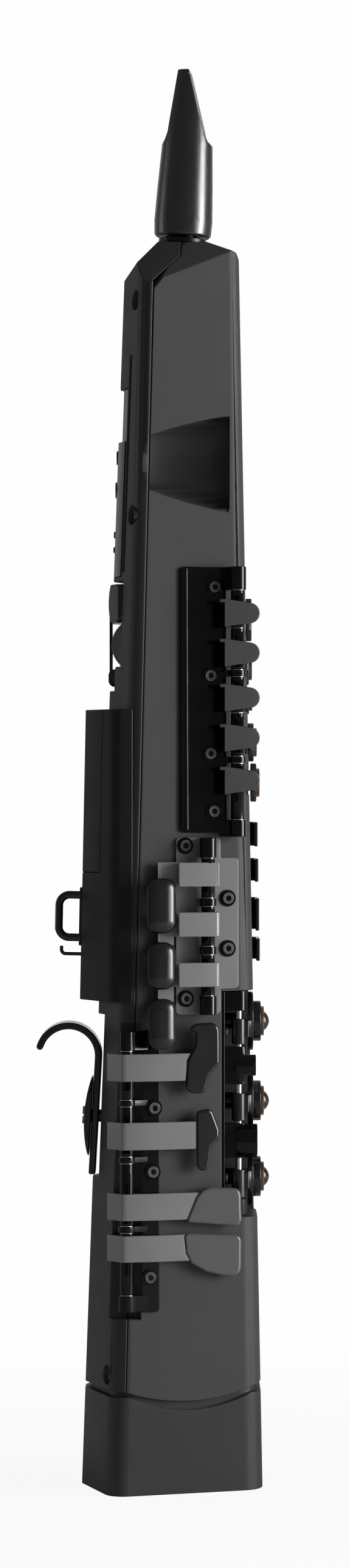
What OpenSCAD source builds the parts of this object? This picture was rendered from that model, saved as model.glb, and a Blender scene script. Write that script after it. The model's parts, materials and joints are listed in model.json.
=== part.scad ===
// Digital wind controller: a saxophone-style electronic wind instrument in millimetres.
// +Z runs up to the mouthpiece, -Y is the front with the finger pearls, +Y faces the player
// and -X is the player's right. The origin is the centre of the bell's bottom rim.

/* [Body] */
// Lowest point of the body cases above the bell's rim
body_low = 43.5; // [43:0.1:44]
// Top of the body cases, where the neck begins
body_high = 594; // [593:0.5:595]
// From the axis to the back ridge at the foot of the cases
back_low = 42.05; // [41.8:0.05:42.3]
// From the axis to the back ridge at the top of the cases
back_high = 22.65; // [22.4:0.05:22.9]
// From the axis to the flat front at the foot of the cases
front_low = 42; // [41.8:0.05:42.3]
// From the axis to the flat front at the top of the cases
front_high = 31.45; // [31.2:0.05:31.7]
// Wall of the cases and the bell
wall = 2.6; // [2.5:0.1:3]
// Gap that shows as the seam between front and rear case
seam_gap = 0.25; // [0.2:0.05:0.3]

/* [Bell] */
// Height of the bell at its back and front edges
bell_high = 46.3; // [46:0.1:46.6]
// Underside of the deck that carries the loudspeaker
deck_low = 33; // [32:0.5:33.5]
// Top of the spigot that plugs into the body
spigot_high = 49.5; // [48:0.5:49.5]

/* [Neck and mouthpiece] */
// Radius of the metal collar
collar_r = 11.4; // [11:0.1:12]
// Outer radius of the neck tube
neck_r = 7; // [6.5:0.1:7.5]
// Forward lean of the neck in degrees
neck_lean = 3; // [2:0.5:4]
// Length of the mouthpiece
mouth_len = 80; // [79:0.5:81]
// Largest radius of the mouthpiece
mouth_r = 14; // [13.5:0.1:14.5]

/* [Keys] */
// Radius of the steel hinge rods
rod_r = 1.5; // [1.4:0.1:1.6]
// Radius of the key tubes that turn on the rods
tube_r = 3.3; // [3.1:0.1:3.5]
// Running gap between a rod and its tube
rod_gap = 0.05; // [0.03:0.01:0.08]
// Radius of a finger pearl
pearl_r = 6.85; // [6.5:0.05:7]
// Thickness of a finger pearl
pearl_t = 1.5; // [1.2:0.1:1.8]
// Radius of the touch discs of the lower stack
disc_r = 14; // [13.5:0.1:14]
// Thickness of the frames that carry the rods
frame_t = 1.5; // [1.2:0.1:1.6]

/* [Battery and hook] */
// Lower end of the battery housing
block_low = 232; // [231:0.5:233]
// Upper end of the battery housing
block_high = 370.4; // [370:0.2:371]
// Thickness of the battery door
door_t = 2; // [1.8:0.1:2.1]
// Thickness of the thumb hook's strip
hook_t = 3.3; // [3:0.1:3.4]
// Width of the thumb hook
hook_w = 20; // [18:1:22]
// Wire radius of the strap ring
ring_wire_r = 1.9; // [1.7:0.1:2]

/* [Hidden] */
$fn = 48;

case_black = [0.16, 0.16, 0.16];
dark_black = [0.1, 0.1, 0.1];
gloss_black = [0.05, 0.05, 0.05];
key_grey = [0.3, 0.3, 0.3];
steel = [0.7, 0.7, 0.7];

// Unit cross-section: a ridge at the back, a widest line behind the middle and a flat front,
// drawn at the half depth below and scaled to the depth at each height.
half_depth = 43.2;
ridge_half = 5.4;
rear_corner = [46, 28.8];
front_corner = [23.3, -43.2];
rear_round = 9;
front_round = 12;
arc_steps = 5;
side_slope = (rear_corner.x - front_corner.x) / (rear_corner.y - front_corner.y);
side_mid = rear_corner.x - side_slope * rear_corner.y;
side_angle = atan(side_slope);
widest_half = 44;
rear_slope = (half_depth - rear_corner.y) / (rear_corner.x - ridge_half);

function unit(v) = v / norm(v);
function rounded_corner(a, b, c, r) =
    let (
        u = unit(a - b),
        v = unit(c - b),
        half = acos(u * v) / 2,
        m = b + unit(u + v) * r / sin(half),
        p = b + u * r / tan(half) - m,
        q = b + v * r / tan(half) - m,
        turn = atan2(p.x * q.y - p.y * q.x, p * q)
    )
    [for (i = [0:arc_steps]) let (w = turn * i / arc_steps)
        m + [p.x * cos(w) - p.y * sin(w), p.x * sin(w) + p.y * cos(w)]];
right_half = concat(
    rounded_corner([-front_corner.x, front_corner.y], front_corner, rear_corner, front_round),
    rounded_corner(front_corner, rear_corner, [ridge_half, half_depth], rear_round),
    [[ridge_half, half_depth]]
);
outline = concat(right_half,
    [for (i = [len(right_half) - 1:-1:0]) [-right_half[i].x, right_half[i].y]]);

function level(z) = (z - body_low) / (body_high - body_low);
function back_at(z) = back_low + (back_high - back_low) * level(z);
function front_at(z) = front_low + (front_high - front_low) * level(z);
function scale_at(z) = (back_at(z) + front_at(z)) / (2 * half_depth);
function mid_at(z) = (back_at(z) - front_at(z)) / 2;
function section(z, g) = [for (p = outline) p * (scale_at(z) + g / half_depth) + [0, mid_at(z)]];
// Distance of the flat side face from the middle plane, and a point h outside it
function side_x(y, z) = side_mid * scale_at(z) + side_slope * (y - mid_at(z));
function over(side, y, z, h) = [side * (side_x(y, z) + h), y];
// Outline of a strip that follows a path and is t thick along X, or along Y
function strip_x(path, t) = concat([for (p = path) p + [t / 2, 0]],
    [for (i = [len(path) - 1:-1:0]) path[i] - [t / 2, 0]]);
function strip_y(path, t) = concat([for (p = path) p + [0, t / 2]],
    [for (i = [len(path) - 1:-1:0]) path[i] - [0, t / 2]]);
function web(a, b, w) = let (d = unit(b - a), n = [-d.y, d.x] * w) [a + n, b + n, b - n, a - n];

// Lower and upper outlines with equal numbers of points, joined by flat sides
module prismoid(low, z0, high, z1) {
    n = len(low);
    polyhedron(
        points = concat([for (p = low) [p.x, p.y, z0]], [for (p = high) [p.x, p.y, z1]]),
        faces = concat([[for (i = [0:n - 1]) i]], [[for (i = [n - 1:-1:0]) n + i]],
            [for (i = [0:n - 1]) let (j = (i + 1) % n) [i, i + n, j + n, j]])
    );
}
module loft(z0, z1, g = 0) {
    prismoid(section(z0, g), z0, section(z1, g), z1);
}
// Skin between two offsets from the body's surface
module layer(z0, z1, outer, inner) {
    difference() {
        loft(z0, z1, outer);
        loft(z0 - 1, z1 + 1, inner);
    }
}
// A flat shape in Y and Z carried along X, on one side or on both
reach = 75;
module across(side = 0) {
    translate([side > 0 ? 0 : -reach, 0, 0])
        rotate([90, 0, 90])
            linear_extrude(side == 0 ? 2 * reach : reach)
                children();
}
// A flat shape in X and Z carried along Y between two planes
module along(y0, y1) {
    translate([0, y1, 0])
        rotate([90, 0, 0])
            linear_extrude(y1 - y0)
                children();
}
module raised(z0, z1) {
    translate([0, 0, z0])
        linear_extrude(z1 - z0)
            children();
}
module rounded(x0, y0, x1, y1, r) {
    translate([x0 + r, y0]) square([x1 - x0 - 2 * r, y1 - y0]);
    translate([x0, y0 + r]) square([x1 - x0, y1 - y0 - 2 * r]);
    for (x = [x0 + r, x1 - r], y = [y0 + r, y1 - r])
        translate([x, y]) circle(r);
}
// Places its children on the flat side face, with +Z pointing outwards
taper_lean = asin((scale_at(body_low) - scale_at(body_high)) * side_mid / (body_high - body_low));
module on_side(side, y, z) {
    mirror([side < 0 ? 1 : 0, 0, 0])
        translate([side_x(y, z), y, z])
            rotate([0, 90 - taper_lean, -side_angle])
                children();
}

// Body form, with its sloping head and arched foot
seam_ref = [9.1, 571];
seam_slope = 0.0246;
function seam_y(z) = seam_ref[0] + (seam_ref[1] - z) * seam_slope;
seam_jog = [[seam_y(574), 574], [-4, 587], [-4, 610]];
head_profile = [[-60, 20], [60, 20], [60, 536], [7.1, body_high], [-16, body_high],
    [-30.2, body_high - 5.4], [-31.4, body_high - 8.3], [-60, 570]];
shoulder = [[-60, 20], [60, 20], [60, 531], [12, body_high], [-12, body_high], [-60, 531]];
// Round cut over each side of the front case: its highest line crosses the side face here
crown = [24, -19, 586];
crown_r = 44;
crown_lean = 40;
foot_centre = [-7.5, 129.5];
foot_r = 86;
module foot_cut() {
    difference() {
        translate([-reach, -reach, 0]) cube([2 * reach, 2 * reach, 60]);
        translate([0, foot_centre[0], foot_centre[1]])
            rotate([0, 90, 0]) cylinder(r = foot_r, h = 3 * reach, center = true, $fn = 96);
        translate([-reach, 21, 49]) cube([2 * reach, 60, 60]);
    }
}
module crown_cut() {
    for (side = [-1, 1])
        difference() {
            translate([side > 0 ? 0 : -reach, -60, 562]) cube([reach, 75, 60]);
            translate([side * crown[0], crown[1], crown[2]]) rotate([0, side * crown_lean, 0])
                translate([0, 0, -crown_r]) rotate([0, 90, 0])
                    cylinder(r = crown_r, h = 4 * reach, center = true, $fn = 96);
        }
}
module body_form() {
    difference() {
        intersection() {
            loft(40, body_high + 1);
            across() polygon(head_profile);
            along(-reach, reach) polygon(shoulder);
        }
        foot_cut();
    }
}
module front_half() {
    across() polygon(concat([[-90, 20], [seam_y(20), 20]], seam_jog, [[-90, 610]]));
}
module rear_half() {
    across() translate([seam_gap, 0])
        polygon(concat([[90, 20], [seam_y(20), 20]], seam_jog, [[90, 610]]));
}

// Neck frame: origin on top of the collar, leaning to the front
neck_foot = [0, -4.6, 596.4];
module neck() {
    translate(neck_foot) rotate([neck_lean, 0, 0]) children();
}

// Battery housing behind the body
block_back_low = 44.5;
block_back_high = 41.7;
block_flat = 8;
block_slope = 1.92;
function block_back(z) = block_back_low
    + (block_back_high - block_back_low) * (z - block_low) / (block_high - block_low);
block_lean = atan((block_back_low - block_back_high) / (block_high - block_low));
function block_section(z, g) = let (
        b = block_back(z) + g,
        w = widest_half * scale_at(z) + g
    ) [[w, 10], [w, b - (w - block_flat) / block_slope], [block_flat, b], [-block_flat, b],
        [-w, b - (w - block_flat) / block_slope], [-w, 10]];
module block_form(z0, z1, g = 0) {
    prismoid(block_section(z0, g), z0, block_section(z1, g), z1);
}
module on_block(z) {
    translate([0, block_back(z), z]) rotate([block_lean, 0, 0]) children();
}

// Places of the keys: rods are [distance from the middle plane, Y]
upper_rod = [26.5, -30.8];
side_rod = [32.5, -16.7];
low_rod = [41.5, 21.7];
stack_rod = [15, -31.4];
palm_rod = [31.5, -12.4];
table_rod = [26.5, -29.8];
octave_pivot = [24.5, 386];
upper_posts = [[310, 318], [345, 348], [386, 389], [427, 438]];
side_posts = [[226, 234.9], [254.5, 258.3], [277.3, 281], [300.2, 309.6]];
low_posts = [[86.7, 94.4], [124, 127], [156.7, 159.6], [183.4, 186.3], [209.5, 218.6]];
stack_posts = [[129.6, 137.5], [157, 173.5], [192, 210], [227, 236.6]];
palm_posts = [[378, 386], [404.5, 407.5], [428.5, 431.5], [453, 461]];
table_posts = [[240, 248], [283, 286], [318, 325]];
// Upper levers: height of lobe, height of touch, depth of its face, its radius, tube ends
front_f_lever = [416, 412, -37.8, 6.5, 409, 426.7];
b_lever = [397.2, 391.7, -36.5, 9.2, 389.3, 408.7];
bis_lever = [375.9, 375, -36.6, 6.6, 368.9, 385.7];
a_lever = [356.9, 355, -38.8, 9.2, 348.3, 368.5];
g_lever = [336.7, 335.7, -40.1, 9.2, 318.3, 344.7];
upper_levers = [front_f_lever, b_lever, bis_lever, a_lever, g_lever];
cup_t = 2.8;
// Lower stack levers: height of the touch, tube ends
f_lever = [221.3, 211, 223.2];
e_lever = [183.1, 174.5, 187.7];
d_lever = [146.7, 138, 151.3];
disc_back = -36;
disc_t = 2.5;
cup_face = -42.2;
cup_r = 9.6;

// Pockets of the cases; e widens them, to leave a wall behind each
bay_low = 129.5;
bay_high = 236.8;
bay_floor = -23.2;
bay_left = 17.5;
module stack_bay(e) {
    translate([-reach, -90, bay_low - e])
        cube([reach + bay_left + e, 90 + bay_floor + e, bay_high - bay_low + 2 * e]);
}
module lever_well(v, e) {
    low_z = v == front_f_lever ? v[1] - 2 : v[1];
    r = v[3] + 1.2 + e;
    translate([0, v[2] + 6 + e, low_z]) rotate([90, 0, 0]) cylinder(r = r, h = 60);
    if (v == front_f_lever) {
        tip = v[1] + front_f_tip;
        tip_r = 4 + e;
        along(v[2] - 40, v[2] + 6 + e)
            polygon([[-r, low_z], [r, low_z], [tip_r, tip], [-tip_r, tip]]);
        translate([0, v[2] + 6 + e, tip]) rotate([90, 0, 0]) cylinder(r = tip_r, h = 60);
    }
    low = min(v[0], v[1]) - 5.5 - e;
    high = max(v[0], v[1]) + 5 + e;
    translate([-reach, v[2] + 5 + e - 60, low]) cube([reach, 60, high - low]);
}
front_f_tip = 9.7;
// Hand scoop: a round channel that deepens from the seam to an upright end wall near the front
scoop_z = 488;
scoop_r = 49;
scoop_end = -26.8;
scoop_deep = 6.5;
scoop_shallow = 2;
module scoop(side, e) {
    start = over(side, 10, scoop_z, -scoop_shallow);
    end = over(side, scoop_end, scoop_z, -scoop_deep);
    along_floor = unit(end - start);
    axis = start + side * scoop_r * [-along_floor.y, along_floor.x];
    intersection() {
        translate([axis.x, axis.y, scoop_z])
            rotate([0, 0, atan2(along_floor.y, along_floor.x)])
                rotate([0, 90, 0]) cylinder(r = scoop_r + e, h = 140, center = true, $fn = 96);
        across(side) rounded(scoop_end - e, scoop_z - 24 - e, 40, scoop_z + 24 + e, 2.5 + e);
    }
}
groove_x = 34.8;
module corner_groove(e) {
    translate([-reach, 15.2 - e, 83 - e]) cube([reach - groove_x + e, 60, 139 + 2 * e]);
}
octave_bay_half = 10;
octave_bay_wide = 17;
octave_bay_low = 379.5;
octave_bay_step = 391;
octave_bay_high = 432;
octave_floor = 19.5;
module octave_bay(e) {
    for (b = [[octave_bay_half, octave_bay_low], [octave_bay_wide, octave_bay_step]])
        translate([-b[0] - e, octave_floor - e, b[1] - e])
            cube([2 * (b[0] + e), 60, octave_bay_high - b[1] + 2 * e]);
}
panel_half = 14;
panel_low = 434;
display_low = 498;
panel_high = 524;
display_drop = 1.8;
panel_flat = 5;
panel_root = 12;
function panel_section(z, g, half) = let (
        b = back_at(z) + g,
        edge = b - (half - panel_flat) * rear_slope
    ) [[half, panel_root], [half, edge], [panel_flat, b], [-panel_flat, b], [-half, edge],
        [-half, panel_root]];
module panel_form(z0, z1, g, half) {
    prismoid(panel_section(z0, g, half), z0, panel_section(z1, g, half), z1);
}
module panel_strip(z0, z1, outer, inner, half) {
    difference() {
        panel_form(z0, z1, outer, half);
        panel_form(z0 - 1, z1 + 1, inner, half + 1);
    }
}
module panel_pocket() {
    panel_strip(panel_low - 0.1, display_low + 0.6, 3, -2.1, panel_half + 0.1);
    panel_strip(display_low - 1.1, panel_high + 0.1, 3, -display_drop - 2.1, panel_half + 0.1);
}
module panel_grooves() {
    for (side = [-1, 1])
        intersection() {
            layer(436, 539, 1, -3.4);
            translate([side * 16.7 - 1.5, 0, 430]) cube([3, 60, 120]);
        }
}
hook_bay_half = 13;
hook_bay_low = 147;
hook_bay_high = 225;
module hook_bay() {
    intersection() {
        layer(hook_bay_low, hook_bay_high, 1, -3);
        translate([-hook_bay_half, 0, hook_bay_low])
            cube([2 * hook_bay_half, 60, hook_bay_high - hook_bay_low]);
    }
}
// Screws that join the two cases: distance from the middle plane, height
case_screw_places = [[20, 565], [25.5, 462.5], [34, 56]];
function rear_y(x, z) = back_at(z) - (x - ridge_half * scale_at(z)) * rear_slope;
counterbore_r = 4.65;
module at_case_screws() {
    for (p = case_screw_places, side = [-1, 1])
        translate([side * p[0], rear_y(p[0], p[1]) - 3.5, p[1]]) rotate([-90, 0, 0]) children();
}
module case_bosses() {
    intersection() {
        at_case_screws() translate([0, 0, -18]) cylinder(r = 5.4, h = 30);
        loft(30, 580, -0.5);
    }
}
// Screws that hold the frames: side, Y, Z
frame_screw_places = [
    [-1, -19.3, 428.5], [-1, -17.3, 386.4], [-1, -17.3, 349.4], [-1, -19, 322],
    [-1, -5.4, 305.8], [-1, -25.6, 280.8], [-1, -25.6, 257], [-1, -5.7, 233.5],
    [-1, 9.3, 182.2], [-1, 10, 152.2], [-1, 11.3, 102.6],
    [1, -4, 456], [1, -4, 434], [1, -4, 382], [1, -12, 321], [1, -12, 244]
];
module at_frame_screws() {
    for (p = frame_screw_places)
        on_side(p[0], p[1], p[2]) children();
}
module screw_holes() {
    at_frame_screws() translate([0, 0, -7]) cylinder(r = 1.25, h = 14, $fn = 24);
    for (z = [147.5, 217])
        translate([-stack_rod[0] - 3.2, bay_floor + 5, z])
            rotate([90, 0, 0]) cylinder(r = 1.25, h = 10, $fn = 24);
}
buttons = [[491.5, 3.4], [476, 3.9], [454.5, 1.7], [447.3, 1.5]];
module button_holes(gap) {
    for (b = buttons)
        translate([0, back_at(b[0]) - 6, b[0]]) rotate([-90, 0, 0]) cylinder(r = b[1] + gap, h = 20);
}
module backing() {
    stack_bay(2.2);
    for (v = upper_levers) lever_well(v, 2);
    for (side = [-1, 1]) scoop(side, 2.3);
    corner_groove(2.3);
    octave_bay(2.5);
    translate([-20.6, 14, 431]) cube([41.2, 40, 111]);
    translate([-16, 30, hook_bay_low - 2.5]) cube([32, 20, hook_bay_high - hook_bay_low + 5]);
    case_bosses();
}
module hollow() {
    difference() {
        loft(20, 570, -wall);
        backing();
    }
}
module outside_cuts() {
    stack_bay(0);
    for (v = upper_levers) lever_well(v, 0);
    for (side = [-1, 1]) scoop(side, 0);
    corner_groove(0);
    at_case_screws() cylinder(r = counterbore_r, h = 20);
    at_case_screws() translate([0, 0, -14]) cylinder(r = 1.52, h = 22, $fn = 24);
    screw_holes();
    neck() {
        translate([0, 0, -2.2]) cylinder(r = collar_r + 0.2, h = 10);
        translate([0, 0, -40]) cylinder(r = neck_r + 0.02, h = 60);
    }
}

module front_shell() {
    color(case_black) difference() {
        intersection() {
            body_form();
            front_half();
        }
        crown_cut();
        hollow();
        outside_cuts();
    }
}

door_low = 293;
door_half = 24;
rib_places = [299.3, 353];
jack_place = [16, 34.6];
jack_r = 2.6;
jack_flange_r = 2.9;
jack_bore_r = 1.8;
jack_lean = 3;
module at_jack() {
    translate([jack_place.x, jack_place.y, block_low]) rotate([jack_lean, 0, 0]) children();
}
port_place = [-15, 34.95];
port_turn = 23.7;
port_size = [9, 3.2];
module at_port(z) {
    translate([port_place.x, port_place.y, z]) rotate([0, 0, port_turn]) children();
}
module block_hollow() {
    difference() {
        block_form(block_low + wall, block_high - wall, -wall);
        intersection() {
            difference() {
                block_form(block_low, block_high, 1);
                block_form(block_low - 1, block_high + 1, -door_t - 2.4);
            }
            translate([-door_half - 3, 20, door_low - 4]) cube([2 * door_half + 6, 40, 90]);
        }
        for (z = rib_places) translate([-40, 8, z]) cube([80, 28.4, 3]);
    }
}
module door_pocket(gap) {
    intersection() {
        difference() {
            block_form(door_low - gap, block_high + 5, 2);
            block_form(door_low - 1, block_high + 6, -door_t - gap);
        }
        translate([-door_half - gap, 20, door_low - gap])
            cube([2 * (door_half + gap), 40, 90]);
    }
}
module rear_shell() {
    color(case_black) difference() {
        union() {
            intersection() {
                body_form();
                rear_half();
            }
            intersection() {
                block_form(block_low, block_high);
                translate([-reach, 19, 0]) cube([2 * reach, reach, 400]);
            }
        }
        hollow();
        block_hollow();
        outside_cuts();
        octave_bay(0);
        panel_pocket();
        panel_grooves();
        hook_bay();
        button_holes(0.4);
        door_pocket(0.15);
        translate([-door_half + 3, 36.5, door_low + 4]) cube([2 * door_half - 6, 40, 65]);
        at_jack() translate([0, 0, -1]) cylinder(r = jack_r + 0.02, h = 5);
        at_port(block_low) cube([port_size.x + 0.1, port_size.y + 0.1, 12], center = true);
        hook_place() translate([0, -20, clamp_z]) rotate([-90, 0, 0]) cylinder(r = 3.02, h = 30);
        translate([0, octave_pivot[0], octave_pivot[1]])
            rotate([0, 90, 0]) cylinder(r = rod_r + 0.02, h = 27, center = true);
    }
}

bell_arch = [-8, 105];
bell_arch_r = 65.4;
grille_step = 7;
module bell() {
    color(case_black) difference() {
        union() {
            difference() {
                loft(0, bell_high);
                translate([0, bell_arch[0], bell_arch[1]])
                    rotate([0, 90, 0]) cylinder(r = bell_arch_r, h = 3 * reach, center = true, $fn = 96);
            }
            loft(30, spigot_high, -wall - 0.3);
        }
        loft(-1, deck_low, -wall);
        loft(deck_low + 3, spigot_high + 1, -wall - 2.6);
        for (ring = [0:3], i = [0:max(0, ring * 6 - 1)])
            rotate([0, 0, i * 360 / max(1, ring * 6)])
                translate([ring * grille_step, 0, deck_low - 1]) cylinder(r = 2, h = 6, $fn = 24);
    }
}

module neck_tube() {
    color(steel) neck() difference() {
        union() {
            translate([0, 0, -22]) cylinder(r = neck_r, h = 47);
            translate([0, 0, -2.1]) cylinder(r = collar_r, h = 2.1);
        }
        translate([0, 0, -23]) cylinder(r = neck_r - 2, h = 60);
    }
}
cork_r = 8.25;
module neck_cork() {
    color([0.55, 0.4, 0.25]) neck() translate([0, 0, 1.4]) difference() {
        cylinder(r = cork_r, h = 21.6);
        translate([0, 0, -1]) cylinder(r = neck_r + 0.02, h = 30);
    }
}
mouth_gap = 0.9;
beak_turn = -6;
module mouthpiece() {
    top = mouth_gap + mouth_len;
    color(gloss_black) neck() difference() {
        intersection() {
            rotate_extrude($fn = 96)
                polygon([[0, mouth_gap], [mouth_r - 1.4, mouth_gap], [mouth_r - 0.4, 2.2],
                    [mouth_r, 8.6], [mouth_r - 0.7, 25], [mouth_r - 1.8, 45], [mouth_r - 2.8, 55],
                    [mouth_r - 4.6, 68], [mouth_r - 6.4, top], [0, top]]);
            rotate([0, 0, beak_turn]) across()
                polygon([[-20, 0], [20, 0], [20, 45.4], [11.7, 45.4], [10.3, 47.4], [9.2, 50.6],
                    [5.9, top], [0.4, top], [-8.3, 50.1], [-10, 47], [-12, 45.3], [-20, 45.3]]);
        }
        translate([0, 0, -1]) cylinder(r = cork_r + 0.05, h = 27);
        cylinder(r = 4, h = 62);
        translate([0, 3.2, top - 12]) cube([8, 1.4, 30], center = true);
    }
}

module control_panel() {
    color(dark_black) difference() {
        union() {
            panel_strip(panel_low, display_low + 0.5, 0, -2, panel_half);
            panel_strip(display_low - 1, panel_high, -display_drop, -display_drop - 2,
                panel_half - 0.3);
        }
        button_holes(0.2);
    }
}
module button(b) {
    color(dark_black) translate([0, back_at(b[0]) - 4, b[0]]) rotate([-90, 0, 0])
        rotate_extrude() polygon([[0, 0], [b[1], 0], [b[1], 4.4], [b[1] - 0.4, 4.8], [0, 4.8]]);
}
module power_button() { button(buttons[0]); }
module function_button() { button(buttons[1]); }
module up_button() { button(buttons[2]); }
module down_button() { button(buttons[3]); }

rest_low = 391.6;
rest_high = 411.2;
rest_r = 12.3;
rest_top = 29.4;
// Saddle beside the octave lever: rounded from the side, with a channel for the lever's arm
module thumb_rest() {
    color(gloss_black) difference() {
        intersection() {
            raised(rest_low, rest_high)
                polygon([[-16.2, octave_floor + 0.05], [16.2, octave_floor + 0.05], [16.2, 24.2],
                    [8, rest_top], [-8, rest_top], [-16.2, 24.2]]);
            translate([0, rest_top - rest_r, (rest_low + rest_high) / 2])
                rotate([0, 90, 0]) cylinder(r = rest_r, h = 40, center = true, $fn = 96);
        }
        translate([-5.2, 25.2, rest_low - 1]) cube([10.4, 10, rest_high - rest_low + 2]);
    }
}
octave_touch = [15.5, 412, 430.4];
module octave_key() {
    color(gloss_black) difference() {
        union() {
            translate([0, octave_pivot[0], octave_pivot[1]])
                rotate([0, 90, 0]) cylinder(r = 3.6, h = 19, center = true);
            intersection() {
                along(22, 40) rounded(-4.5, 381.6, 4.5, 390, 1.5);
                across() rounded(23, 381.6, 30.9, 390, 3);
            }
            along(28.9, 30.4) rounded(-3.5, 386, 3.5, 416, 1);
            intersection() {
                along(22.6, 30.8)
                    rounded(-octave_touch[0], octave_touch[1], octave_touch[0], octave_touch[2], 3);
                raised(octave_touch[1] - 1, octave_touch[2] + 1)
                    polygon([[-16, 22], [16, 22], [16, 26], [5, 30.9], [-5, 30.9], [-16, 26]]);
                translate([0, -11.2, 421.2]) rotate([90, 0, 90])
                    cylinder(r = 42, h = 40, center = true, $fn = 96);
            }
        }
        translate([0, octave_pivot[0], octave_pivot[1]])
            rotate([0, 90, 0]) cylinder(r = rod_r + rod_gap, h = 30, center = true);
    }
}

// Hook frame: origin on the strip's outer face at its lower end, +Z up the strip
hook_foot = [0, 40.4, 148.4];
hook_lean = 3.15;
hook_len = 56;
hook_arc_r = 16;
clamp_z = 27.6;
clamp_curve = 70;
slot_down = 12.5;
slot_up = 4;
module hook_place() {
    translate(hook_foot) rotate([hook_lean, 0, 0]) children();
}
hook_centre = [hook_arc_r - hook_t, hook_len];
hook_end = 15;
function arc(centre, r, from, to, steps) =
    [for (i = [0:steps]) let (a = from + (to - from) * i / steps) centre + r * [cos(a), sin(a)]];
hook_side = concat(
    [[-hook_t, 0]],
    arc(hook_centre, hook_arc_r, 180, hook_end, 24),
    arc(hook_centre + (hook_arc_r - hook_t / 2) * [cos(hook_end), sin(hook_end)], hook_t / 2,
        hook_end - 30, hook_end - 150, 4),
    arc(hook_centre, hook_arc_r - hook_t, hook_end, 180, 24),
    [[0, 0]]
);
module thumb_hook() {
    color(case_black) hook_place() difference() {
        intersection() {
            across() polygon(hook_side);
            along(-10, 40) rounded(-hook_w / 2, 0, hook_w / 2, 90, 1.5);
        }
        along(-10, 5) rounded(-3.2, clamp_z - slot_down, 3.2, clamp_z + slot_up, 3.1);
    }
}
module thumb_hook_clamp() {
    color(dark_black) hook_place() {
        intersection() {
            along(0.3, 6) rounded(-12, clamp_z - 19, 12, clamp_z + 19, 8);
            translate([0, 3.6 - clamp_curve, clamp_z])
                rotate([0, 90, 0]) cylinder(r = clamp_curve, h = 40, center = true, $fn = 360);
        }
        translate([0, -12, clamp_z]) rotate([-90, 0, 0]) cylinder(r = 3, h = 12.4);
    }
}

ring_half = 10.2;
ring_out = 11;
ring_bend = 5;
module strap_ring() {
    color(dark_black) on_block(271.5) {
        along(0.02, 1.2) rounded(-6, -14, 6, 14, 4);
        for (s = [-1, 1]) mirror([0, 0, s < 0 ? 1 : 0]) {
            translate([0, 0.6, ring_half]) rotate([-90, 0, 0])
                cylinder(r = ring_wire_r, h = ring_out - ring_bend - 0.6);
            translate([0, ring_out - ring_bend, ring_half - ring_bend]) rotate([90, 0, 90])
                rotate_extrude(angle = 90) translate([ring_bend, 0]) circle(ring_wire_r);
            translate([0, ring_out, 0]) cylinder(r = ring_wire_r, h = ring_half - ring_bend);
        }
    }
}
module cable_hook() {
    color(steel) on_block(253.4) {
        translate([0, 0.02, 0]) rotate([-90, 0, 0]) cylinder(r = 0.85, h = 7.5);
        translate([0, 7.52, 2]) rotate([90, 0, 90]) rotate([0, 0, -90])
            rotate_extrude(angle = 90) translate([2, 0]) circle(0.85);
        translate([0, 9.52, 2]) cylinder(r = 0.85, h = 1.8);
    }
}

module battery_door() {
    color(case_black) intersection() {
        difference() {
            block_form(door_low, block_high);
            block_form(door_low - 1, block_high + 1, -door_t);
        }
        translate([-door_half, 20, door_low]) cube([2 * door_half, 40, 90]);
    }
}
module battery_cells() {
    color([0.25, 0.4, 0.3]) for (x = [-7.4, 7.4], y = [15, 29.6]) translate([x, y, 302.6]) {
        cylinder(r = 7.1, h = 49);
        cylinder(r = 2.7, h = 50);
    }
}

// Frames: a skin on the side of the body with posts that hold a rod
module posts(side, rod, foot_y, spans, barrel) {
    for (s = spans) {
        at = [side * rod[0], rod[1]];
        foot = over(side, foot_y, (s[0] + s[1]) / 2, -1);
        raised(s[0], s[1]) {
            translate(at) circle(barrel);
            polygon(web(at, foot, 2.4));
        }
    }
}
module rod_hole(side, rod, z0, z1) {
    translate([side * rod[0], rod[1], z0 - 1]) cylinder(r = rod_r + 0.02, h = z1 - z0 + 2);
}
module frame_holes() {
    at_frame_screws() translate([0, 0, -2]) cylinder(r = 1.25, h = 10, $fn = 24);
}
module upper_frame() {
    color(gloss_black) difference() {
        union() {
            intersection() {
                loft(305, 445, frame_t);
                across(-1) rounded(-25.6, 312, -3.4, 438, 2);
            }
            posts(-1, upper_rod, -23.5, upper_posts, 4);
        }
        loft(300, 450, 0.05);
        rod_hole(-1, upper_rod, 305, 445);
        frame_holes();
    }
}
module side_frame() {
    color(key_grey) difference() {
        union() {
            intersection() {
                loft(220, 315, frame_t);
                across(-1) {
                    rounded(-31.2, 238, -6.4, 300, 2);
                    rounded(-22.6, 226, -1.5, 309.6, 2);
                }
            }
            posts(-1, side_rod, -14, side_posts, 4);
        }
        loft(215, 320, 0.05);
        rod_hole(-1, side_rod, 220, 315);
        frame_holes();
    }
}
module low_frame() {
    color(gloss_black) difference() {
        union() {
            intersection() {
                loft(80, 225, frame_t);
                across(-1) rounded(6.3, 86.3, 14.6, 219, 2);
            }
            posts(-1, low_rod, 13, low_posts, 4);
        }
        difference() {
            loft(75, 230, 0.05);
            corner_groove(-0.1);
        }
        rod_hole(-1, low_rod, 80, 225);
        frame_holes();
    }
}
boss_places = [[201, 5, -39.6], [165, 8, -40.3]];
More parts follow.
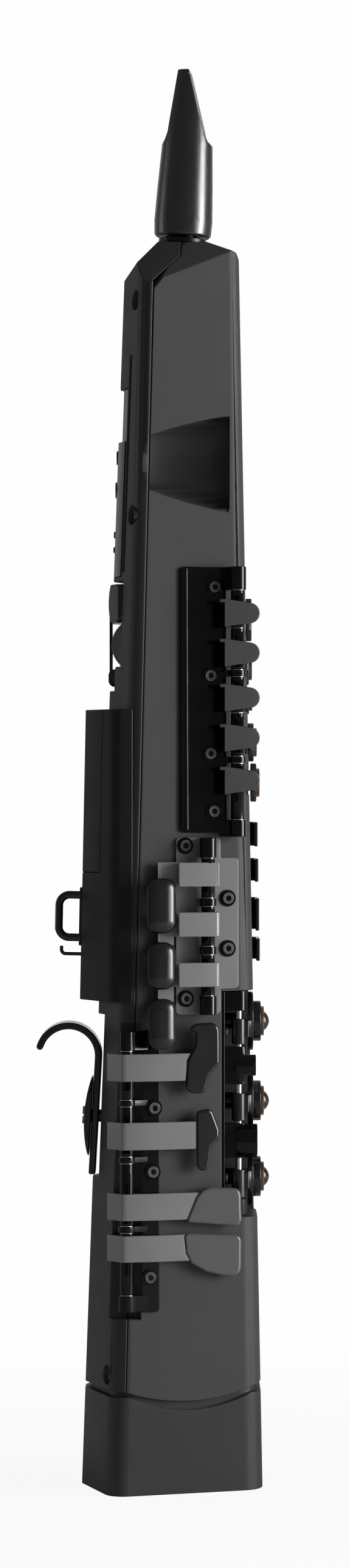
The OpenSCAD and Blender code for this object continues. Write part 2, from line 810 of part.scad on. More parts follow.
module front_frame() {
    color(dark_black) difference() {
        union() {
            translate([-22, bay_floor - frame_t - 0.05, bay_low + 0.2])
                cube([13, frame_t, bay_high - bay_low - 0.4]);
            for (s = stack_posts) raised(s[0], s[1]) {
                translate([-stack_rod[0], stack_rod[1]]) circle(3.8);
                translate([-stack_rod[0] - 3.8, stack_rod[1]]) square([7.6, 7.6]);
            }
            for (b = boss_places) translate([-stack_rod[0], b[2], b[0]])
                rotate([-90, 0, 0]) cylinder(r = b[1], h = -30 - b[2]);
        }
        rod_hole(-1, stack_rod, 120, 240);
        for (z = [147.5, 217]) translate([-stack_rod[0] - 3.2, bay_floor + 5, z])
            rotate([90, 0, 0]) cylinder(r = 1.25, h = 10, $fn = 24);
    }
    color(key_grey) for (v = [f_lever, e_lever, d_lever])
        translate([0, bay_floor - 0.05, v[0]]) rotate([90, 0, 0]) cylinder(r = 4, h = 7.2);
}
module left_frame() {
    color(gloss_black) difference() {
        union() {
            intersection() {
                loft(230, 470, frame_t);
                across(1) {
                    rounded(-24.5, 240, -6, 325, 2);
                    rounded(-22, 378, 0, 461, 2);
                }
            }
            posts(1, table_rod, -23, table_posts, 4);
            posts(1, palm_rod, -10, palm_posts, 4);
        }
        loft(225, 475, 0.05);
        rod_hole(1, table_rod, 230, 330);
        rod_hole(1, palm_rod, 370, 465);
        frame_holes();
    }
}
module rod(side, at, z0, z1) {
    translate([side * at[0], at[1], z0]) cylinder(r = rod_r, h = z1 - z0);
}
module hinge_rods() {
    color(steel) {
        rod(-1, upper_rod, 310.5, 437.5);
        rod(-1, side_rod, 226.5, 309.1);
        rod(-1, low_rod, 86.8, 218.5);
        rod(-1, stack_rod, 130, 236);
        rod(1, palm_rod, 378.5, 460.5);
        rod(1, table_rod, 240.5, 324.5);
        translate([0, octave_pivot[0], octave_pivot[1]])
            rotate([0, 90, 0]) cylinder(r = rod_r, h = 26, center = true);
    }
}
module screw(head_r, head_h, shank_r, shank) {
    difference() {
        union() {
            cylinder(r = head_r, h = head_h);
            translate([0, 0, -shank]) cylinder(r = shank_r, h = shank + 0.1, $fn = 24);
        }
        translate([0, 0, head_h - 0.8]) cylinder(r = 1.4, h = 2, $fn = 6);
    }
}
module frame_screws() {
    color(key_grey) {
        at_frame_screws() translate([0, 0, frame_t + 0.02]) screw(2.8, 1.2, 1.22, 7);
        for (z = [147.5, 217]) translate([-stack_rod[0] - 3.2, bay_floor - frame_t - 0.08, z])
            rotate([90, 0, 0]) screw(2.4, 1.2, 1.22, 5);
    }
    color(steel) hook_place() translate([0, 3.62, clamp_z]) rotate([-90, 0, 0]) difference() {
        cylinder(r = 4.25, h = 0.9);
        translate([-5, -0.6, 0.3]) cube([10, 1.2, 2]);
    }
}
module case_screws() {
    color(dark_black) at_case_screws() translate([0, 0, 0.02]) screw(3.4, 2.2, 1.5, 12);
}
module jack_sockets() {
    color(steel) {
        at_jack() difference() {
            union() {
                translate([0, 0, -1.8]) cylinder(r = jack_flange_r, h = 1.5);
                translate([0, 0, -1]) cylinder(r = jack_r, h = 15.6);
            }
            translate([0, 0, -5]) cylinder(r = jack_bore_r, h = 19);
        }
        at_port(block_low + 4.6) difference() {
            cube([port_size.x, port_size.y, 9], center = true);
            translate([0, 0, -1]) cube([port_size.x - 0.6, port_size.y - 0.6, 9], center = true);
        }
    }
}
module main_board() {
    color([0.1, 0.3, 0.15]) translate([-13, -12, 110]) cube([26, 1.6, 445]);
}
module breath_sensor() {
    color(steel) {
        translate([-5, -10.38, 535]) cube([10, 6, 14]);
        translate([0, -7.4, 549]) cylinder(r = 2, h = 19);
    }
}
module speaker() {
    color(dark_black) translate([0, 0, deck_low + 3.02]) {
        cylinder(r = 23, h = 3);
        cylinder(r1 = 20, r2 = 12, h = 9);
        cylinder(r = 12, h = 15);
    }
}

// Levers of the upper stack: tube, lobe beside it, arm across the front and touch
lobe_t = 2.4;
lobe_root = -24.4;
lobe_tab = 2.2;
lobe_tip = -41.3;
lobe_tip_r = 4.85;
function lobe_x(y) = -(upper_rod[0] + 2.6 + side_slope * (y - upper_rod[1]));
module bored(side, rod, z0, z1) {
    difference() {
        children();
        translate([side * rod[0], rod[1], z0 - 1])
            cylinder(r = rod_r + rod_gap, h = z1 - z0 + 2);
    }
}
module lobe_outline(z) {
    centre = lobe_tip + lobe_tip_r;
    polygon([[lobe_root, z - 6.7], [lobe_root, z + 6.7], [centre - 0.7, z + 4.8],
        [centre - 0.7, z - 4.8]]);
    translate([centre, z]) circle(lobe_tip_r);
    translate([lobe_root - 1, z + 4.8]) square([lobe_tab + 1, 1.7]);
}
module touch_plate(v) {
    if (v == front_f_lever) {
        translate([0, v[1] - 2]) circle(v[3]);
        polygon([[-6.3, v[1] - 1], [6.3, v[1] - 1], [2.2, v[1] + 10.4], [-2.2, v[1] + 10.4]]);
        translate([0, v[1] + front_f_tip]) circle(2.3);
    } else {
        translate([0, v[1]]) circle(v[3]);
    }
}
module upper_key(v) {
    face = v[2];
    mid = face + 1.9;
    color(key_grey) bored(-1, upper_rod, v[4], v[5]) {
        translate([-upper_rod[0], upper_rod[1], v[4]]) cylinder(r = tube_r, h = v[5] - v[4]);
        intersection() {
            raised(v[0] - 10, v[0] + 10)
                polygon(strip_x([[lobe_x(lobe_root + lobe_tab), lobe_root + lobe_tab],
                    [lobe_x(lobe_tip), lobe_tip]], lobe_t));
            across(-1) lobe_outline(v[0]);
        }
        along(mid - 1, mid + 1) {
            polygon([[lobe_x(mid), v[0] - 4], [lobe_x(mid), v[0] + 4], [0, v[1] + 4.5],
                [0, v[1] - 4.5]]);
        }
        along(face, face + cup_t) touch_plate(v);
    }
}
module pearl(face, z, r) {
    color([0.2, 0.13, 0.08]) difference() {
        translate([0, face, z]) rotate([90, 0, 0]) cylinder(r = r, h = pearl_t);
        translate([0, face - pearl_t - r * 3, z]) sphere(r = r * 3 + 0.7, $fn = 96);
    }
}
module front_f_key() { upper_key(front_f_lever); }
module b_key() { upper_key(b_lever); }
module bis_key() { upper_key(bis_lever); }
module a_key() { upper_key(a_lever); }
module g_key() { upper_key(g_lever); }
module b_pearl() { pearl(b_lever[2], b_lever[1], pearl_r); }
module bis_pearl() { pearl(bis_lever[2], bis_lever[1], pearl_r - 2); }
module a_pearl() { pearl(a_lever[2], a_lever[1], pearl_r); }
module g_pearl() { pearl(g_lever[2], g_lever[1], pearl_r); }

// Levers of the lower stack: tube in the front bay, arm, round plate and cup
module stack_key(v) {
    color(dark_black) bored(-1, stack_rod, v[1], v[2]) {
        translate([-stack_rod[0], stack_rod[1], v[1]]) cylinder(r = tube_r, h = v[2] - v[1]);
        translate([-stack_rod[0], disc_back - 0.2, v[2] - 9]) cube([stack_rod[0] + 3, 2.6, 8]);
        translate([-stack_rod[0] - 2, disc_back - 0.2, v[2] - 9]) cube([4, 4, 8]);
        translate([0, disc_back, v[0]]) rotate([90, 0, 0]) cylinder(r = disc_r, h = disc_t, $fn = 64);
        translate([0, disc_back, v[0]]) rotate([90, 0, 0]) cylinder(r = cup_r, h = disc_back - cup_face);
    }
}
module stack_pearl(v) {
    color([0.2, 0.13, 0.08]) {
        translate([0, cup_face, v[0]]) rotate([90, 0, 0]) cylinder(r = pearl_r + 0.2, h = pearl_t);
        intersection() {
            translate([0, cup_face, v[0]]) rotate([90, 0, 0]) cylinder(r = 5.2, h = 10);
            translate([0, cup_face + 1.5, v[0]]) sphere(r = 5.5);
        }
    }
}
module f_key() { stack_key(f_lever); }
module e_key() { stack_key(e_lever); }
module d_key() { stack_key(d_lever); }
module f_pearl() { stack_pearl(f_lever); }
module e_pearl() { stack_pearl(e_lever); }
module d_pearl() { stack_pearl(d_lever); }

// Rocking side keys: arm over the rod, neck down to the pill, riser under the pill and the pill
arm_h = 3.8;
arm_t = 1.6;
pill_h = 8.3;
pill_t = 3.6;
module side_key(side, rod, tube, arm, pill, pill_y) {
    zm = (arm[0] + arm[1]) / 2;
    zp = (pill[0] + pill[1]) / 2;
    color(key_grey) bored(side, rod, tube[0], tube[1]) {
        translate([side * rod[0], rod[1], tube[0]]) cylinder(r = tube_r, h = tube[1] - tube[0]);
        raised(arm[0], arm[1])
            polygon(strip_x([[side * (rod[0] + 1), rod[1] - 5.3], [side * (rod[0] + 2.6), rod[1]],
                [side * (rod[0] + 2.9), rod[1] + 4], over(side, rod[1] + 12, zm, arm_h),
                over(side, 7, zm, arm_h)], arm_t));
        raised(min(arm[0] + 1, pill[1] - 6), arm[0] + 2)
            polygon(strip_x([over(side, -0.5, zm, arm_h), over(side, 7, zm, arm_h)], arm_t));
        raised(pill[1] - 7, pill[1] - 1.5)
            polygon(strip_x([over(side, -0.5, zp, 6), over(side, 6.5, zp, 6)], 4.6));
        intersection() {
            raised(pill[0] - 1, pill[1] + 1)
                polygon(strip_x([over(side, pill_y[0] - 1, zp, pill_h),
                    over(side, pill_y[1] + 1, zp, pill_h)], pill_t));
            across(side) rounded(pill_y[0], pill[0], pill_y[1], pill[1], 5.5);
        }
    }
}
module side_e_key() {
    side_key(-1, side_rod, [281.3, 299.9], [286.6, 298], [264.6, 290.6], [-1.7, 12]);
}
module side_c_key() {
    side_key(-1, side_rod, [258.6, 277], [263, 274.5], [238.2, 260.6], [-1.4, 11.6]);
}
module side_b_flat_key() {
    side_key(-1, side_rod, [235.2, 254.2], [239.3, 250.7], [209.8, 234], [-1.6, 11.4]);
}
module palm_d_key() {
    side_key(1, palm_rod, [431.8, 452.7], [441, 451.5], [424.5, 443.5], [-1.5, 10.8]);
}
module palm_e_flat_key() {
    side_key(1, palm_rod, [407.8, 428.2], [416.5, 427], [400, 419], [-1.5, 10.8]);
}
module palm_f_key() {
    side_key(1, palm_rod, [386.3, 404.2], [392.5, 403], [376, 395], [-1.5, 10.8]);
}

// Low keys: a long lever from the rod at the rear corner, with a broad touch
low_slope = 0.28;
low_bend = 8.5;
lever_t = 2;
touch_t = 3;
function low_x(y) = -(low_rod[0] + 2.5 - low_slope * (low_rod[1] - y));
high_f_sharp_touch = [[-7.5, 219.5], [-10.8, 222], [-18.4, 222.3], [-21.2, 221], [-22.1, 218.5],
    [-22.2, 203], [-17.5, 197.6], [-15.4, 190], [-14, 189], [-8.6, 189], [-6, 191.5], [-6.9, 204.7],
    [-10.6, 211.7], [-11, 217.5]];
trill_touch = [[-11.2, 180.6], [-17.2, 181.8], [-19, 180], [-22.1, 171.4], [-21.9, 167.7],
    [-18.4, 163.6], [-17.2, 154.4], [-15.5, 152.4], [-12.6, 152.6], [-11.2, 154.8]];
low_e_flat_touch = [[-6.4, 128.8], [-11.2, 140.4], [-14.3, 143.5], [-18.4, 144.7], [-29.6, 143.8],
    [-31.8, 142.6], [-32.3, 140], [-32.6, 128], [-30.6, 125.8], [-8, 128]];
low_c_touch = [[-5.3, 122], [-6.7, 123.3], [-30.9, 121.6], [-32.5, 119.8], [-32.3, 106],
    [-31.3, 103.2], [-28.6, 102], [-24.3, 102.4], [-16.1, 104.4], [-8.8, 108.7], [-6.2, 113.6]];
module low_key(tube, arm, arm_end, touch) {
    front = min([for (p = touch) p.x]);
    back = max([for (p = touch) p.x]);
    color(key_grey) bored(-1, low_rod, tube[0], tube[1]) {
        translate([-low_rod[0], low_rod[1], tube[0]]) cylinder(r = tube_r, h = tube[1] - tube[0]);
        raised(arm[0], arm[1])
            polygon(strip_x([[low_x(arm_end), arm_end], [low_x(low_bend) - 0.9, low_bend],
                [low_x(21.5), 21.5], [-43.6, 24], [-36, 31]], lever_t));
        intersection() {
            raised(90, 230)
                polygon(strip_x([[low_x(front - 1), front - 1], [low_x(back + 1), back + 1]],
                    touch_t));
            across(-1) polygon(touch);
        }
    }
}
module high_f_sharp_key() {
    low_key([186.6, 209.2], [195, 208], -9.5, high_f_sharp_touch);
}
module f_sharp_trill_key() {
    low_key([159.9, 183.1], [162.8, 175.8], -13, trill_touch);
}
module low_e_flat_key() {
    low_key([127.3, 156.4], [129.6, 142.3], -13, low_e_flat_touch);
}
module low_c_key() {
    low_key([94.7, 123.7], [110.1, 122.6], -9, low_c_touch);
}

// Table keys on the left of the front: tube at the corner and a bar across the front
table_t = 1.8;
module table_key(tube, touch) {
    zm = (touch[0] + touch[1]) / 2;
    face = -front_at(zm) - 4 + table_t / 2;
    color(key_grey) bored(1, table_rod, tube[0], tube[1]) {
        translate([table_rod[0], table_rod[1], tube[0]]) cylinder(r = tube_r, h = tube[1] - tube[0]);
        raised(touch[0], touch[1]) {
            polygon(strip_x([[table_rod[0] + 1.6, table_rod[1]], [table_rod[0] - 0.4, face]], 3));
            polygon(strip_y([[1, face], [table_rod[0] + 0.8, face]], table_t));
        }
    }
}
module g_sharp_key() { table_key([302, 317.7], [305, 316.6]); }
module c_sharp_key() { table_key([286.3, 301.7], [288, 299]); }
module low_b_key() { table_key([263.2, 282.7], [264.5, 280]); }
module low_b_flat_key() { table_key([248.3, 262.9], [250, 260.7]); }

front_shell();
rear_shell();
bell();
neck_tube();
neck_cork();
mouthpiece();
control_panel();
thumb_rest();
thumb_hook();
thumb_hook_clamp();
strap_ring();
cable_hook();
battery_door();
upper_frame();
side_frame();
low_frame();
front_frame();
left_frame();
hinge_rods();
frame_screws();
case_screws();
jack_sockets();
main_board();
breath_sensor();
speaker();
battery_cells();
octave_key();
power_button();
function_button();
up_button();
down_button();
front_f_key();
b_key();
bis_key();
a_key();
g_key();
b_pearl();
bis_pearl();
a_pearl();
g_pearl();
f_key();
e_key();
d_key();
f_pearl();
e_pearl();
d_pearl();
side_e_key();
side_c_key();
side_b_flat_key();
high_f_sharp_key();
f_sharp_trill_key();
low_e_flat_key();
low_c_key();
palm_d_key();
palm_e_flat_key();
palm_f_key();
g_sharp_key();
c_sharp_key();
low_b_key();
low_b_flat_key();
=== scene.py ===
"""Digital wind controller dressed for a studio picture: finishes, rounded edges and small parts."""

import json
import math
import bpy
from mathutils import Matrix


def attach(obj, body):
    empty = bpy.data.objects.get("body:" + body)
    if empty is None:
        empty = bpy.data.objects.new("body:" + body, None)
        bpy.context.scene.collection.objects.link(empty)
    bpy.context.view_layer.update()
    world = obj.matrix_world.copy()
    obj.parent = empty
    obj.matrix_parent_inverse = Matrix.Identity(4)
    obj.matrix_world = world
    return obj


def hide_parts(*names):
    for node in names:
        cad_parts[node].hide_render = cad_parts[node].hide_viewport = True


bl_info = {
    "name": "Wind Controller Studio",
    "version": (1, 0, 0),
    "blender": (4, 5, 0),
    "location": "View3D > Sidebar > Wind Controller",
    "description": "Dresses a saxophone-style digital wind controller and its studio stage",
    "category": "Object",
}

import bmesh
import bpy
from mathutils import Matrix, Vector

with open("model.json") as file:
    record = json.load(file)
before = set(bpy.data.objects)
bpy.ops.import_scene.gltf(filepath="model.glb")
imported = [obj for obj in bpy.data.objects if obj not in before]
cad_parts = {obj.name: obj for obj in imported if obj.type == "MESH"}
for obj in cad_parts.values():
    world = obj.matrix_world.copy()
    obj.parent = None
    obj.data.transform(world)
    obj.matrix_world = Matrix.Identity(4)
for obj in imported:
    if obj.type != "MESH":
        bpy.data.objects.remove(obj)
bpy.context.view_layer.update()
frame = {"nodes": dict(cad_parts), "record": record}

MM = 0.001
RECORD = frame["record"]
BODY_OF = {n: b for b, nodes in RECORD["behaviour"]["bodies"].items() for n in nodes}
GROUPS = {}
MATERIALS = {}


# Node groups that several finishes share

def new_group(name, inputs, outputs):
    group = bpy.data.node_groups.new(name, "ShaderNodeTree")
    for label, kind, default in inputs:
        socket = group.interface.new_socket(name=label, in_out="INPUT", socket_type=kind)
        if default is not None:
            socket.default_value = default
    for label in outputs:
        group.interface.new_socket(name=label, in_out="OUTPUT", socket_type="NodeSocketFloat")
    enter = group.nodes.new("NodeGroupInput")
    leave = group.nodes.new("NodeGroupOutput")
    GROUPS[name] = group
    return group, enter, leave


def noise(tree, vector, scale, detail, roughness):
    """A noise texture whose vector, and scale where it is a socket, come from other nodes."""
    node = tree.nodes.new("ShaderNodeTexNoise")
    node.inputs["Detail"].default_value = detail
    node.inputs["Roughness"].default_value = roughness
    tree.links.new(vector, node.inputs["Vector"])
    if isinstance(scale, (int, float)):
        node.inputs["Scale"].default_value = scale
    else:
        tree.links.new(scale, node.inputs["Scale"])
    return node.outputs["Fac"]


def spread(tree, value, low, high, to_low=0.0, to_high=1.0):
    """Maps a value from one range to another, clamped."""
    node = tree.nodes.new("ShaderNodeMapRange")
    for label, number in (("From Min", low), ("From Max", high),
                          ("To Min", to_low), ("To Max", to_high)):
        node.inputs[label].default_value = number
    tree.links.new(value, node.inputs["Value"])
    return node.outputs["Result"]


VECTOR = ("Vector", "NodeSocketVector", None)
# Part of a noise texture's range that holds most of its values
NOISE_RANGE = (0.3, 0.7)
# Stretch of the noise behind turning lines, which run round Z
LINE_STRETCH = (0.05, 0.05, 1.0)


def build_groups():
    group, enter, leave = new_group(
        "moulded grain",
        [VECTOR, ("Grain Scale", "NodeSocketFloat", 2500.0),
         ("Mottle Scale", "NodeSocketFloat", 20.0)],
        ["Height", "Mottle"])
    grain = noise(group, enter.outputs["Vector"], enter.outputs["Grain Scale"],
                  detail=3, roughness=0.6)
    mottle = noise(group, enter.outputs["Vector"], enter.outputs["Mottle Scale"],
                   detail=4, roughness=0.6)
    group.links.new(grain, leave.inputs["Height"])
    group.links.new(spread(group, mottle, *NOISE_RANGE), leave.inputs["Mottle"])

    group, enter, leave = new_group(
        "handling marks", [VECTOR, ("Scale", "NodeSocketFloat", 40.0)], ["Smudge"])
    smear = noise(group, enter.outputs["Vector"], enter.outputs["Scale"], detail=5, roughness=0.65)
    group.links.new(spread(group, smear, low=0.42, high=0.66), leave.inputs["Smudge"])

    group, enter, leave = new_group(
        "turned lines", [VECTOR, ("Scale", "NodeSocketFloat", 900.0)], ["Line"])
    squeeze = group.nodes.new("ShaderNodeVectorMath")
    squeeze.operation = "MULTIPLY"
    squeeze.inputs[1].default_value = LINE_STRETCH
    group.links.new(enter.outputs["Vector"], squeeze.inputs[0])
    line = noise(group, squeeze.outputs["Vector"], enter.outputs["Scale"], detail=2, roughness=0.5)
    group.links.new(line, leave.inputs["Line"])


# Finishes

def use_group(tree, name, vector, **values):
    node = tree.nodes.new("ShaderNodeGroup")
    node.node_tree = GROUPS[name]
    tree.links.new(vector, node.inputs["Vector"])
    for label, value in values.items():
        node.inputs[label.replace("_", " ")].default_value = value
    return node


def blank_material(name):
    material = bpy.data.materials.new(name)
    material.use_nodes = True
    tree = material.node_tree
    shader = tree.nodes["Principled BSDF"]
    place = tree.nodes.new("ShaderNodeTexCoord").outputs["Object"]
    MATERIALS[name] = material
    return tree, shader, place


def mix_colours(tree, factor, low, high):
    node = tree.nodes.new("ShaderNodeMix")
    node.data_type = "RGBA"
    tree.links.new(factor, node.inputs["Factor"])
    node.inputs["A"].default_value = (*low, 1.0)
    node.inputs["B"].default_value = (*high, 1.0)
    return node.outputs["Result"]


def add_bump(tree, shader, height, strength, depth):
    node = tree.nodes.new("ShaderNodeBump")
    node.inputs["Strength"].default_value = strength
    node.inputs["Distance"].default_value = depth
    tree.links.new(height, node.inputs["Height"])
    tree.links.new(node.outputs["Normal"], shader.inputs["Normal"])


# Grains of moulded skins as scale, strength and depth in metres
SKIN_GRAIN = (2600.0, 0.2, 0.00004)
SATIN_GRAIN = (2200.0, 0.1, 0.00002)
# How much lighter than its colour a skin's mottle gets, as a factor and an addition
MOTTLE_LIFT = 1.1
MOTTLE_ADD = 0.001


def moulded(name, colour, rough, grain=SKIN_GRAIN, specular=0.4, smudge=0.04):
    """A moulded, painted or lacquered skin: mottled colour, smudged gloss and a fine grain."""
    scale, strength, depth = grain
    tree, shader, place = blank_material(name)
    skin = use_group(tree, "moulded grain", place, Grain_Scale=scale, Mottle_Scale=26.0)
    marks = use_group(tree, "handling marks", place, Scale=55.0)
    lighter = [c * MOTTLE_LIFT + MOTTLE_ADD for c in colour]
    tree.links.new(mix_colours(tree, skin.outputs["Mottle"], colour, lighter),
                   shader.inputs["Base Color"])
    tree.links.new(spread(tree, marks.outputs["Smudge"], 0, 1, rough, rough + smudge),
                   shader.inputs["Roughness"])
    add_bump(tree, shader, skin.outputs["Height"], strength, depth)
    shader.inputs["Specular IOR Level"].default_value = specular


# Share of a metal's colour away from smudges, and the roughness that its turning lines add
CLEAN_SHARE = 0.85
LINE_ROUGH = 0.14


def machined(name, colour, rough, scale=900.0):
    """Bright or blackened steel with fine turning lines."""
    tree, shader, place = blank_material(name)
    lines = use_group(tree, "turned lines", place, Scale=scale)
    marks = use_group(tree, "handling marks", place, Scale=90.0)
    clean = [c * CLEAN_SHARE for c in colour]
    tree.links.new(mix_colours(tree, marks.outputs["Smudge"], clean, colour),
                   shader.inputs["Base Color"])
    tree.links.new(spread(tree, lines.outputs["Line"], *NOISE_RANGE, rough, rough + LINE_ROUGH),
                   shader.inputs["Roughness"])
    add_bump(tree, shader, lines.outputs["Line"], strength=0.15, depth=0.00002)
    shader.inputs["Metallic"].default_value = 1.0


def horn(name, dark, light):
    """Brown resin of the pearls, with cloudy streaks under a polish."""
    tree, shader, place = blank_material(name)
    cloud = noise(tree, place, scale=320.0, detail=5, roughness=0.65)
    tree.links.new(mix_colours(tree, spread(tree, cloud, low=0.35, high=0.68), dark, light),
                   shader.inputs["Base Color"])
    marks = use_group(tree, "handling marks", place, Scale=120.0)
    tree.links.new(spread(tree, marks.outputs["Smudge"], 0, 1, to_low=0.14, to_high=0.26),
                   shader.inputs["Roughness"])
    shader.inputs["Coat Weight"].default_value = 0.6
    shader.inputs["Coat Roughness"].default_value = 0.05


# Scale of the fine noise against that of the flecks, and how far it moves the roughness
FINE_SCALE = 2.2
ROUGH_REACH = 0.08


def speckled(name, ground, fleck, scale, rough, depth):
    """Cork, board lacquer and felt: a ground colour with flecks in it."""
    tree, shader, place = blank_material(name)
    cells = tree.nodes.new("ShaderNodeTexVoronoi")
    cells.inputs["Scale"].default_value = scale
    tree.links.new(place, cells.inputs["Vector"])
    fine = noise(tree, place, scale * FINE_SCALE, detail=4, roughness=0.6)
    share = spread(tree, cells.outputs["Distance"], low=0.05, high=0.5)
    tree.links.new(mix_colours(tree, share, fleck, ground), shader.inputs["Base Color"])
    tree.links.new(spread(tree, fine, *NOISE_RANGE, rough - ROUGH_REACH, rough + ROUGH_REACH),
                   shader.inputs["Roughness"])
    add_bump(tree, shader, fine, strength=0.5, depth=depth)


# Share of the bell's colour on the face that points at the key lamp, a darker copy as painted shade
BELL_FRONT_SHADE = 0.5


def build_finishes(colours):
    moulded("case skin", colours.case, 0.5, specular=0.3)
    # Darker copy of the case skin for the rear case and the front shell's forward faces: painted
    # shade
    moulded("case painted shade", colours.rear, 0.5, specular=0.25)
    # Darker colour inside the hand scoops: painted shade of the recess
    moulded("scoop painted shade", colours.scoop, 0.36, specular=0.3)
    moulded("bell skin", colours.bell, 0.5, specular=0.3)
    moulded("bell front painted shade", [c * BELL_FRONT_SHADE for c in colours.bell], 0.5, specular=0.3)
    # Darker colour of the battery door and housing: painted shade
    moulded("door painted shade", colours.door, 0.5, specular=0.15)
    moulded("panel gloss", colours.gloss, 0.22, (4000.0, 0.04, 0.00001), 0.15)
    moulded("mouthpiece gloss", colours.mouthpiece, 0.27, (3000.0, 0.03, 0.00001), 0.85)
    moulded("frame lacquer", colours.frame, 0.12, (1500.0, 0.03, 0.00001), 0.25, smudge=0.06)
    moulded("lobe satin", colours.lobe, 0.36, SATIN_GRAIN, 0.5)
    # Arms lighter than their satin grey: partly real satin grey, partly painted sheen
    moulded("lever satin with painted sheen", colours.lever, 0.34, SATIN_GRAIN, 0.7)
    # Side plate lighter than its satin grey: partly real satin grey, partly painted sheen
    moulded("plate satin with painted sheen", colours.plate, 0.34, SATIN_GRAIN, 0.7)
    # Low touches lighter than their grey: partly real satin, partly painted sheen
    moulded("touch satin with painted sheen", colours.satin, 0.32, (2200.0, 0.06, 0.00001), 0.6)
    moulded("touch gloss", colours.touch, 0.22, (3000.0, 0.05, 0.00001), 0.5)
    moulded("hook lacquer", colours.touch, 0.15, (2000.0, 0.04, 0.00001), 0.5)
    machined("steel", colours.steel, 0.16)
    machined("coin steel", colours.coin, 0.3, 2500.0)
    machined("screw black", colours.screw, 0.34, 1500.0)
    machined("collar black", colours.collar, 0.2, 1500.0)
    horn("pearl horn", colours.horn_dark, colours.horn_light)
    speckled("cork", (0.42, 0.26, 0.13), (0.2, 0.1, 0.05), 900.0, 0.8, 0.00012)
    speckled("felt", (0.02, 0.02, 0.022), (0.05, 0.05, 0.05), 2600.0, 0.92, 0.0001)
    speckled("board", (0.01, 0.09, 0.04), (0.3, 0.2, 0.06), 400.0, 0.4, 0.00002)
    moulded("cell sleeve", (0.05, 0.16, 0.09), 0.3)


# Making pieces

# Angles in degrees: the least at an edge that is rounded, the least at one that stays sharp in the
# shading, and the greatest inside a flat face
EDGE_ANGLE = 35
CREASE_ANGLE = 38
FLAT_ANGLE = 0.6
# Distances in mm at which the doubles of a CAD mesh, and of a spun one, merge
MERGE = 0.002
SPUN_MERGE = 0.001
# Steps round a spun ring, and across the wide rounding of an edge
SPIN_STEPS = 40
SOFT_STEPS = 4


def finish_piece(bm, name, node, materials, replace=True):
    """Turns a bmesh into a shown piece that rides with the body of a CAD node."""
    mesh = bpy.data.meshes.new(name)
    bm.to_mesh(mesh)
    bm.free()
    for face in mesh.polygons:
        face.use_smooth = True
    mesh.set_sharp_from_angle(angle=math.radians(CREASE_ANGLE))
    for material in materials:
        mesh.materials.append(MATERIALS[material])
    piece = bpy.data.objects.new(name, mesh)
    bpy.context.scene.collection.objects.link(piece)
    even = piece.modifiers.new("Even shading", "WEIGHTED_NORMAL")
    even.keep_sharp = True
    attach(piece, BODY_OF[node])
    if replace:
        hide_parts(node)
    return piece


def merged_copy(node):
    """A copy of a CAD node's mesh with its doubles merged and its flat faces whole again."""
    bm = bmesh.new()
    bm.from_mesh(frame["nodes"][node].data)
    bmesh.ops.remove_doubles(bm, verts=bm.verts, dist=MERGE * MM)
    bmesh.ops.dissolve_limit(bm, angle_limit=math.radians(FLAT_ANGLE), verts=bm.verts,
                             edges=bm.edges)
    return bm


def sharp_edges(bm, where):
    """Convex edges at a corner, and where the test of a point in mm says if there is one."""
    limit = math.radians(EDGE_ANGLE)
    return [e for e in bm.edges
            if len(e.link_faces) == 2 and e.is_convex and e.calc_face_angle(0.0) > limit
            and (where is None or where((e.verts[0].co + e.verts[1].co) / 2 / MM))]


def round_edges(bm, width, segments, where):
    edges = sharp_edges(bm, where)
    if edges:
        bmesh.ops.bevel(bm, geom=edges, offset=width * MM, offset_type="OFFSET", segments=segments,
                        profile=0.5, affect="EDGES", material=-1, clamp_overlap=False)


def centred(test):
    """A face test made from a test of a point in mm."""
    return lambda face: test(face.calc_center_median() / MM)


# Angles in degrees of the rings of a domed touch, the least area in mm2 of the face that is domed,
# and how far in mm its rim sinks and its middle rises
DOME_RINGS = (15, 30, 45, 58, 70, 80)
DOME_AREA = 150
DOME_SINK = 1.0
DOME_RISE = 3.2


def spine_point(point, low, high):
    """The nearest point to a place on the middle line of a long outline."""
    half = (high - low) / 2
    middle = (high + low) / 2
    across = min(half.y, half.z)
    return Vector((
        point.x,
        min(max(point.y, middle.y - half.y + across), middle.y + half.y - across),
        min(max(point.z, middle.z - half.z + across), middle.z + half.z - across)))


def raise_domes(bm, test):
    """Makes an elliptic dome of each large outward face that passes the test."""
    tops = [f for f in bm.faces if f.calc_area() > DOME_AREA * MM * MM
            and f.normal.x * f.calc_center_median().x > 0 and test(f)]
    for top in tops:
        out = top.normal.copy()
        for vert in top.verts:
            vert.co -= out * DOME_SINK * MM
        places = [v.co for v in top.verts]
        low = Vector(min(p[i] for p in places) for i in range(3))
        high = Vector(max(p[i] for p in places) for i in range(3))
        middle = top.calc_center_bounds()
        share, height = 1.0, 0.0
        for ring in DOME_RINGS:
            bmesh.ops.inset_individual(bm, faces=[top], thickness=0.0, depth=0.0)
            next_share = math.cos(math.radians(ring))
            next_height = DOME_RISE * MM * math.sin(math.radians(ring))
            for vert in top.verts:
                base = vert.co - out * height
                spine = spine_point(base, low, high)
                spine -= out * (spine - middle).dot(out)
                vert.co = spine + (base - spine) * next_share / share + out * next_height
            share, height = next_share, next_height


